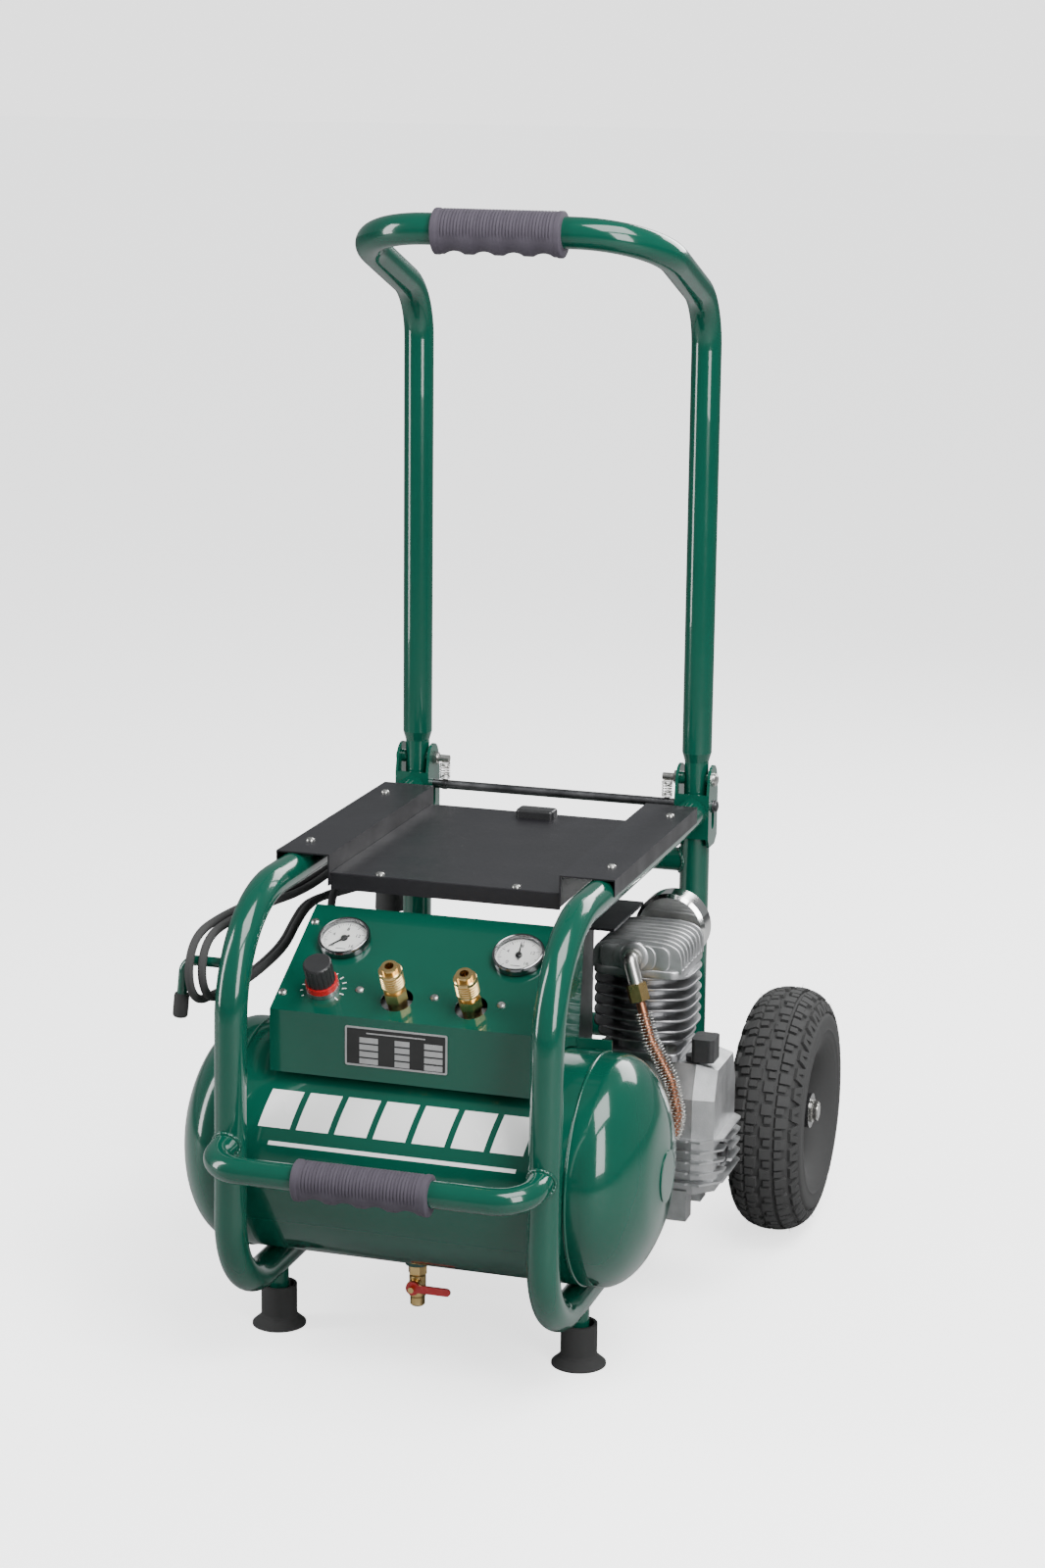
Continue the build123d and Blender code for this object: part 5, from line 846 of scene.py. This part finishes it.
# ---- pump castings ----
class COMPRESSOR_OT_castings(bpy.types.Operator):
    """Cylinder and head: superellipse fins round a barrel, and rounded plates over a block"""
    bl_idname = "compressor.castings"
    bl_label = "Pump castings"

    def execute(self, context):
        x, y = PUMP_X, PUMP_Y
        barrel = np.array([(0, 0), (37, 0), (37, 81), (0, 81)]) / 1000
        base = rounded_rectangle((x, y, 0.26655), (1, 0, 0), (0, 1, 0), 0.088, 0.084, 0.010)
        parts = [lathe(barrel, (x, y, 0.271), (0, 0, 1), 72), slab(base, (0, 0, 1), 0.0089, 0.0014)]
        for row in range(7):
            half = 0.0535 if row else 0.049
            outline = superellipse((x, y, 0.2832 + 0.01133 * row), (1, 0, 0), (0, 1, 0), half,
                half * 0.94, 2.7, 72)
            outline[:, 2] += 0.0006 * np.cos(np.arange(72) * TAU / 12)
            parts.append(slab(outline, (0, 0, 1), 0.0026, 0.0010))
        machine_piece("finned_cylinder", parts, 40, "sandblasted_casting", "cast_iron", "cylinder")
        base = rounded_rectangle((x, y, 0.3565), (1, 0, 0), (0, 1, 0), 0.094, 0.100, 0.012)
        parts = [slab(base, (0, 0, 1), 0.009, 0.0018),
            slab(self.plate(x, y, 0.0415, 0.3845), (0, 1, 0), 0.088, 0.002)]
        for row in range(8):
            parts.append(slab(self.plate(x, y - 0.044 + 0.01257 * row, 0.047, 0.3901), (0, 1, 0), 0.0030,
                0.0011))
        front = y - 0.0470
        for out, height, width, tall, corner in ((0.0, 0.3725, 0.074, 0.026, 0.009),
                (0.0016, 0.3730, 0.046, 0.027, 0.012)):
            cover = rounded_rectangle((x - 0.002, front - out, height), (1, 0, 0), (0, 0, 1), width,
                tall, corner)
            parts.append(slab(cover, (0, 1, 0), 0.0040, 0.0015))
        boss = np.array([(0, -1), (15, -1), (15, 3.4), (14, 4.4), (10, 4.8), (0, 4.8)]) / 1000
        parts.append(lathe(boss, (0.163, y - 0.0476, 0.3741), (0, -1, 0), 40))
        machine_piece("finned_cylinder_head", parts, 40, "cast_aluminium", "aluminium", "cylinder_head")
        return {"FINISHED"}

    def plate(self, x, y, half, top):
        """Outline of a head plate: straight sides and a broad rounded top."""
        turn = np.linspace(0, math.pi, 33)
        across = half * np.sign(np.cos(turn)) * np.abs(np.cos(turn)) ** (2 / 3.4)
        rise = (top - 0.366) * np.abs(np.sin(turn)) ** (2 / 3.4)
        arch = np.c_[x + across, np.full(33, y), 0.366 + rise]
        foot = np.array([[x - half, y, 0.3580], [x + half, y, 0.3580]])
        return np.concatenate([arch, foot])


# ---- gauges, knob marks, nameplate ----
def face_box(x, up, width, height, out, thick, turn=0.0):
    """A thin box lying on the control face, turned about the face's normal."""
    across = math.cos(turn) * np.array([1.0, 0, 0]) + math.sin(turn) * FACE_UP
    along = -math.sin(turn) * np.array([1.0, 0, 0]) + math.cos(turn) * FACE_UP
    return box_at(face_point(x, up, out + thick / 2), across * width, along * height, FACE_OUT * thick)


def box_at(centre, across, along, deep):
    """A box from its centre and its three edge vectors."""
    corner = np.array([[i, j, k] for i in (-0.5, 0.5) for j in (-0.5, 0.5) for k in (-0.5, 0.5)])
    points = np.asarray(centre, float) + corner @ np.stack([across, along, deep])
    faces = np.array([[0, 1, 3, 2], [4, 6, 7, 5], [0, 4, 5, 1], [2, 3, 7, 6], [0, 2, 6, 4], [1, 5, 7, 3]])
    return points, faces


def numeral(text, size, place, across, up, out):
    """A figure set flat on a surface, as a thin mesh in world place."""
    letters = bpy.data.curves.new("figure", "FONT")
    letters.body = text
    letters.size = size
    letters.align_x = "CENTER"
    letters.align_y = "CENTER"
    letters.extrude = 0.00008
    holder = bpy.data.objects.new("figure", letters)
    mesh = bpy.data.meshes.new_from_object(holder)
    turn = Matrix((Vector(across), Vector(up), Vector(out))).transposed().to_4x4()
    mesh.transform(Matrix.Translation(Vector(place)) @ turn)
    bpy.data.objects.remove(holder)
    bpy.data.curves.remove(letters)
    return mesh


def mesh_object(name, meshes):
    """One object from several meshes, which are then removed."""
    work = bmesh.new()
    for mesh in meshes:
        work.from_mesh(mesh)
        bpy.data.meshes.remove(mesh)
    target = bpy.data.meshes.new(name)
    work.to_mesh(target)
    work.free()
    made = bpy.data.objects.new(name, target)
    bpy.context.scene.collection.objects.link(made)
    return made


DIAL_FROM, DIAL_SWEEP = 225, 270
DIAL_TOP, FIGURE_R, DASH_R = 0.00276, 0.0135, 0.0212


class COMPRESSOR_OT_gauges(bpy.types.Operator):
    """Two pressure gauges: turned bezels, ticks every few degrees of a 270 degree sweep, plain figures"""
    bl_idname = "compressor.gauges"
    bl_label = "Gauges"

    def execute(self, context):
        profile = np.array([(0, 0.1), (25.4, 0.1), (26.2, 0.5), (26.4, 5.6), (26.0, 7.4), (25.2, 8.6),
            (24.2, 9.0), (23.3, 8.7), (22.95, 7.8), (22.9, 2.0), (0, 2.0)]) / 1000
        rims = [lathe(profile, face_point(side * GAUGE_X, GAUGE_UP), FACE_OUT, 96) for side in (-1, 1)]
        rim = new_object("turned_gauge_bezels", *joined(rims), 30)
        piece(rim, look("smoked_bezel"), "machine", "chrome", "gauge_cases")
        ticks, figures = [], []
        for side in (-1, 1):
            for k in range(41):
                a = math.radians(DIAL_FROM - DIAL_SWEEP * k / 40)
                long = k % 5 == 0
                middle = 0.0192 if long else 0.0201
                ticks.append(face_box(side * GAUGE_X + middle * math.cos(a),
                    GAUGE_UP + middle * math.sin(a), 0.0040 if long else 0.0022,
                    0.0006 if long else 0.0003, DIAL_TOP, 0.0001, a))
            for k in range(0, 9, 2):
                a = math.radians(DIAL_FROM - DIAL_SWEEP * k / 8)
                place = face_point(side * GAUGE_X + FIGURE_R * math.cos(a),
                    GAUGE_UP + FIGURE_R * math.sin(a), 0.0029)
                figures.append(numeral(str(2 * k), 0.0058, place, (1, 0, 0), FACE_UP, FACE_OUT))
            ticks.append(face_box(side * GAUGE_X, GAUGE_UP - FIGURE_R, 0.010, 0.0008, DIAL_TOP, 0.0001))
            hub = lathe(np.array([(0, 4.4), (3.1, 4.4), (3.1, 5.4), (2.4, 5.8), (0, 5.8)]) / 1000,
                face_point(side * GAUGE_X, GAUGE_UP), FACE_OUT, 24)
            boss = new_object("needle_boss_" + ("left" if side < 0 else "right"), *hub, 30)
            piece(boss, look("black_print"), "tank_needle" if side < 0 else "outlet_needle",
                "needle_black")
        marks = new_object("dial_ticks", *joined(ticks), 30)
        piece(marks, look("black_print"), "machine", "needle_black")
        piece(mesh_object("dial_figures", figures), look("black_print"), "machine", "needle_black")
        return {"FINISHED"}


class COMPRESSOR_OT_markings(bpy.types.Operator):
    """Plain white marks: a ring of dashes by the knob, a stripe on the tank, cells on the plate"""
    bl_idname = "compressor.markings"
    bl_label = "Markings"

    def execute(self, context):
        dashes = []
        for k in range(13):
            a = math.radians(215 - 250 * k / 12)
            dashes.append(face_box(KNOB_X + DASH_R * math.cos(a), KNOB_UP + DASH_R * math.sin(a),
                0.0024 + 0.0002 * k, 0.0011, 0.0, 0.00012, a))
        machine_piece("knob_dashes", dashes, 30, "white_print", "plate")
        stripe = []
        bars = [(-0.140 + 0.0395 * k, 0.033, 22.0, 41.0) for k in range(7)]
        bars.append((-0.128, 0.252, 13.5, 15.5))
        for start, width, low, high in bars:
            grid_x, grid_a = np.meshgrid(np.linspace(0, width, 16),
                np.radians(np.linspace(low, high, 12)), indexing="ij")
            radius = TANK_R + 0.0003
            across = start + grid_x + 0.22 * TANK_R * (grid_a - math.radians(low))
            points = np.stack([across, TANK_Y - radius * np.cos(grid_a),
                TANK_Z + radius * np.sin(grid_a)], -1)
            stripe.append((points.reshape(-1, 3), grid_faces(16, 12)))
        machine_piece("tank_stripes", stripe, 30, "white_print", "plate")
        y = -0.2674
        cells = [box_at((-0.0055, y, 0.33125), (0.1000, 0, 0), (0, 0, 0.0355), (0, 0.0003, 0))]
        light = []
        for row in range(4):
            for start, width in ((-0.0425, 0.0190), (-0.0065, 0.0150), (0.0235, 0.0185)):
                light.append(box_at((start + width / 2, y - 0.0002, 0.3170 + row * 0.0070),
                    (width, 0, 0), (0, 0, 0.0054), (0, 0.0003, 0)))
        light.append(box_at((-0.0055, y - 0.0002, 0.3452), (0.060, 0, 0), (0, 0, 0.0012), (0, 0.0003, 0)))
        machine_piece("plate_blanks", light, 30, "etched_silver", "plate")
        machine_piece("plate_cells", cells, 30, "black_print", "plate")
        return {"FINISHED"}


# ---- weld beads ----
def saddle(origin, big_axis, big_r, small_axis, small_r, count=96):
    """The line where a small tube meets a big one square on: a circle of the small tube, each point
    raised to the big tube's surface."""
    u, v, w = axes_for(small_axis)
    a = np.arange(count) * TAU / count
    around = small_r * (np.cos(a)[:, None] * u + np.sin(a)[:, None] * v)
    off = around @ np.cross(big_axis, w)
    return np.asarray(origin, float) + around + np.sqrt(big_r ** 2 - off ** 2)[:, None] * w


def bead_along(path, half, closed=True, square_to=(0.13, 0.31, 0.94)):
    """A weld bead: a small pipe whose radius ripples along the seam."""
    run = np.r_[0, np.cumsum(np.linalg.norm(np.diff(path, axis=0), axis=1))]
    ripple = half * (1 + 0.13 * np.cos(run * TAU / 0.0036))
    return pipe(path, np.repeat(ripple[:, None], 8, 1), 8, square_to, closed)


class COMPRESSOR_OT_hook_caps(bpy.types.Operator):
    """Rubber caps turned round the ends of the cord hooks"""
    bl_idname = "compressor.hook_caps"
    bl_label = "Hook caps"

    def execute(self, context):
        profile = np.array([(0, 0), (6.2, 0), (7.3, 1.4), (7.5, 4), (7.5, 21), (7.0, 23.4),
            (5.1, 24)]) / 1000
        caps = [lathe(profile, (-0.2198, FRONT_Y + back, low), (0.1, 0, 1), 32) for back,
            low in ((0.027, 0.3500), (0.552, 0.3540))]
        machine_piece("rubber_hook_caps", caps, 40, "foot_rubber", "foot_rubber")
        return {"FINISHED"}


class COMPRESSOR_OT_welds(bpy.types.Operator):
    """Weld beads: rippled pipes along the seams of tank, lifting bar and cross tubes"""
    bl_idname = "compressor.welds"
    bl_label = "Weld beads"

    def execute(self, context):
        half = context.scene.compressor_sizes.bead
        beads = []
        a = np.arange(360) * TAU / 360
        for x in (-0.1735, 0.1735):
            ring = np.stack([np.full(360, x), TANK_Y + (TANK_R - 0.0006) * np.cos(a),
                TANK_Z + (TANK_R - 0.0006) * np.sin(a)], 1)
            beads.append(bead_along(ring, half * 0.9, square_to=(1, 0, 0)))
        for side in (-1, 1):
            front = FRONT_Y + 0.0039
            seam = saddle((side * TUBE_X, front, 0.236), (0, 0, 1), TUBE_R, (0, -1, 0), 0.0134)
            beads.append(bead_along(seam, half))
            for z in (0.4113, 0.215):
                seam = saddle((side * TUBE_X, REAR_Y, z), (0, 0, 1), TUBE_R, (-side, 0, 0), 0.0129)
                beads.append(bead_along(seam, half))
        machine_piece("painted_weld_beads", beads, 60, "gloss_green_paint", "green_paint")
        return {"FINISHED"}


# ---- add-on ----
STEPS = ("stage", "cord", "finishes", "tyres", "grips", "springs", "discharge", "castings", "gauges",
    "markings", "hook_caps", "welds")


class COMPRESSOR_PT_panel(bpy.types.Panel):
    """Buttons for each piece, in the order they are made"""
    bl_idname = "COMPRESSOR_PT_panel"
    bl_label = "Site air compressor"
    bl_space_type = "VIEW_3D"
    bl_region_type = "UI"
    bl_category = "Compressor"

    def draw(self, context):
        for group in (context.scene.compressor_colours, context.scene.compressor_sizes):
            for name in group.__annotations__:
                self.layout.prop(group, name)
        for step in STEPS:
            self.layout.operator("compressor." + step)


CLASSES = (CompressorColours, CompressorSizes, COMPRESSOR_OT_stage, COMPRESSOR_OT_cord,
    COMPRESSOR_OT_finishes, COMPRESSOR_OT_tyres, COMPRESSOR_OT_grips, COMPRESSOR_OT_springs,
    COMPRESSOR_OT_discharge, COMPRESSOR_OT_castings, COMPRESSOR_OT_gauges, COMPRESSOR_OT_markings,
    COMPRESSOR_OT_hook_caps, COMPRESSOR_OT_welds, COMPRESSOR_PT_panel)


def register():
    for cls in CLASSES:
        bpy.utils.register_class(cls)
    bpy.types.Scene.compressor_colours = bpy.props.PointerProperty(type=CompressorColours)
    bpy.types.Scene.compressor_sizes = bpy.props.PointerProperty(type=CompressorSizes)


def unregister():
    del bpy.types.Scene.compressor_sizes
    del bpy.types.Scene.compressor_colours
    for cls in reversed(CLASSES):
        bpy.utils.unregister_class(cls)


def main():
    register()
    for step in STEPS:
        getattr(bpy.ops.compressor, step)()


if __name__ == "__main__":
    main()
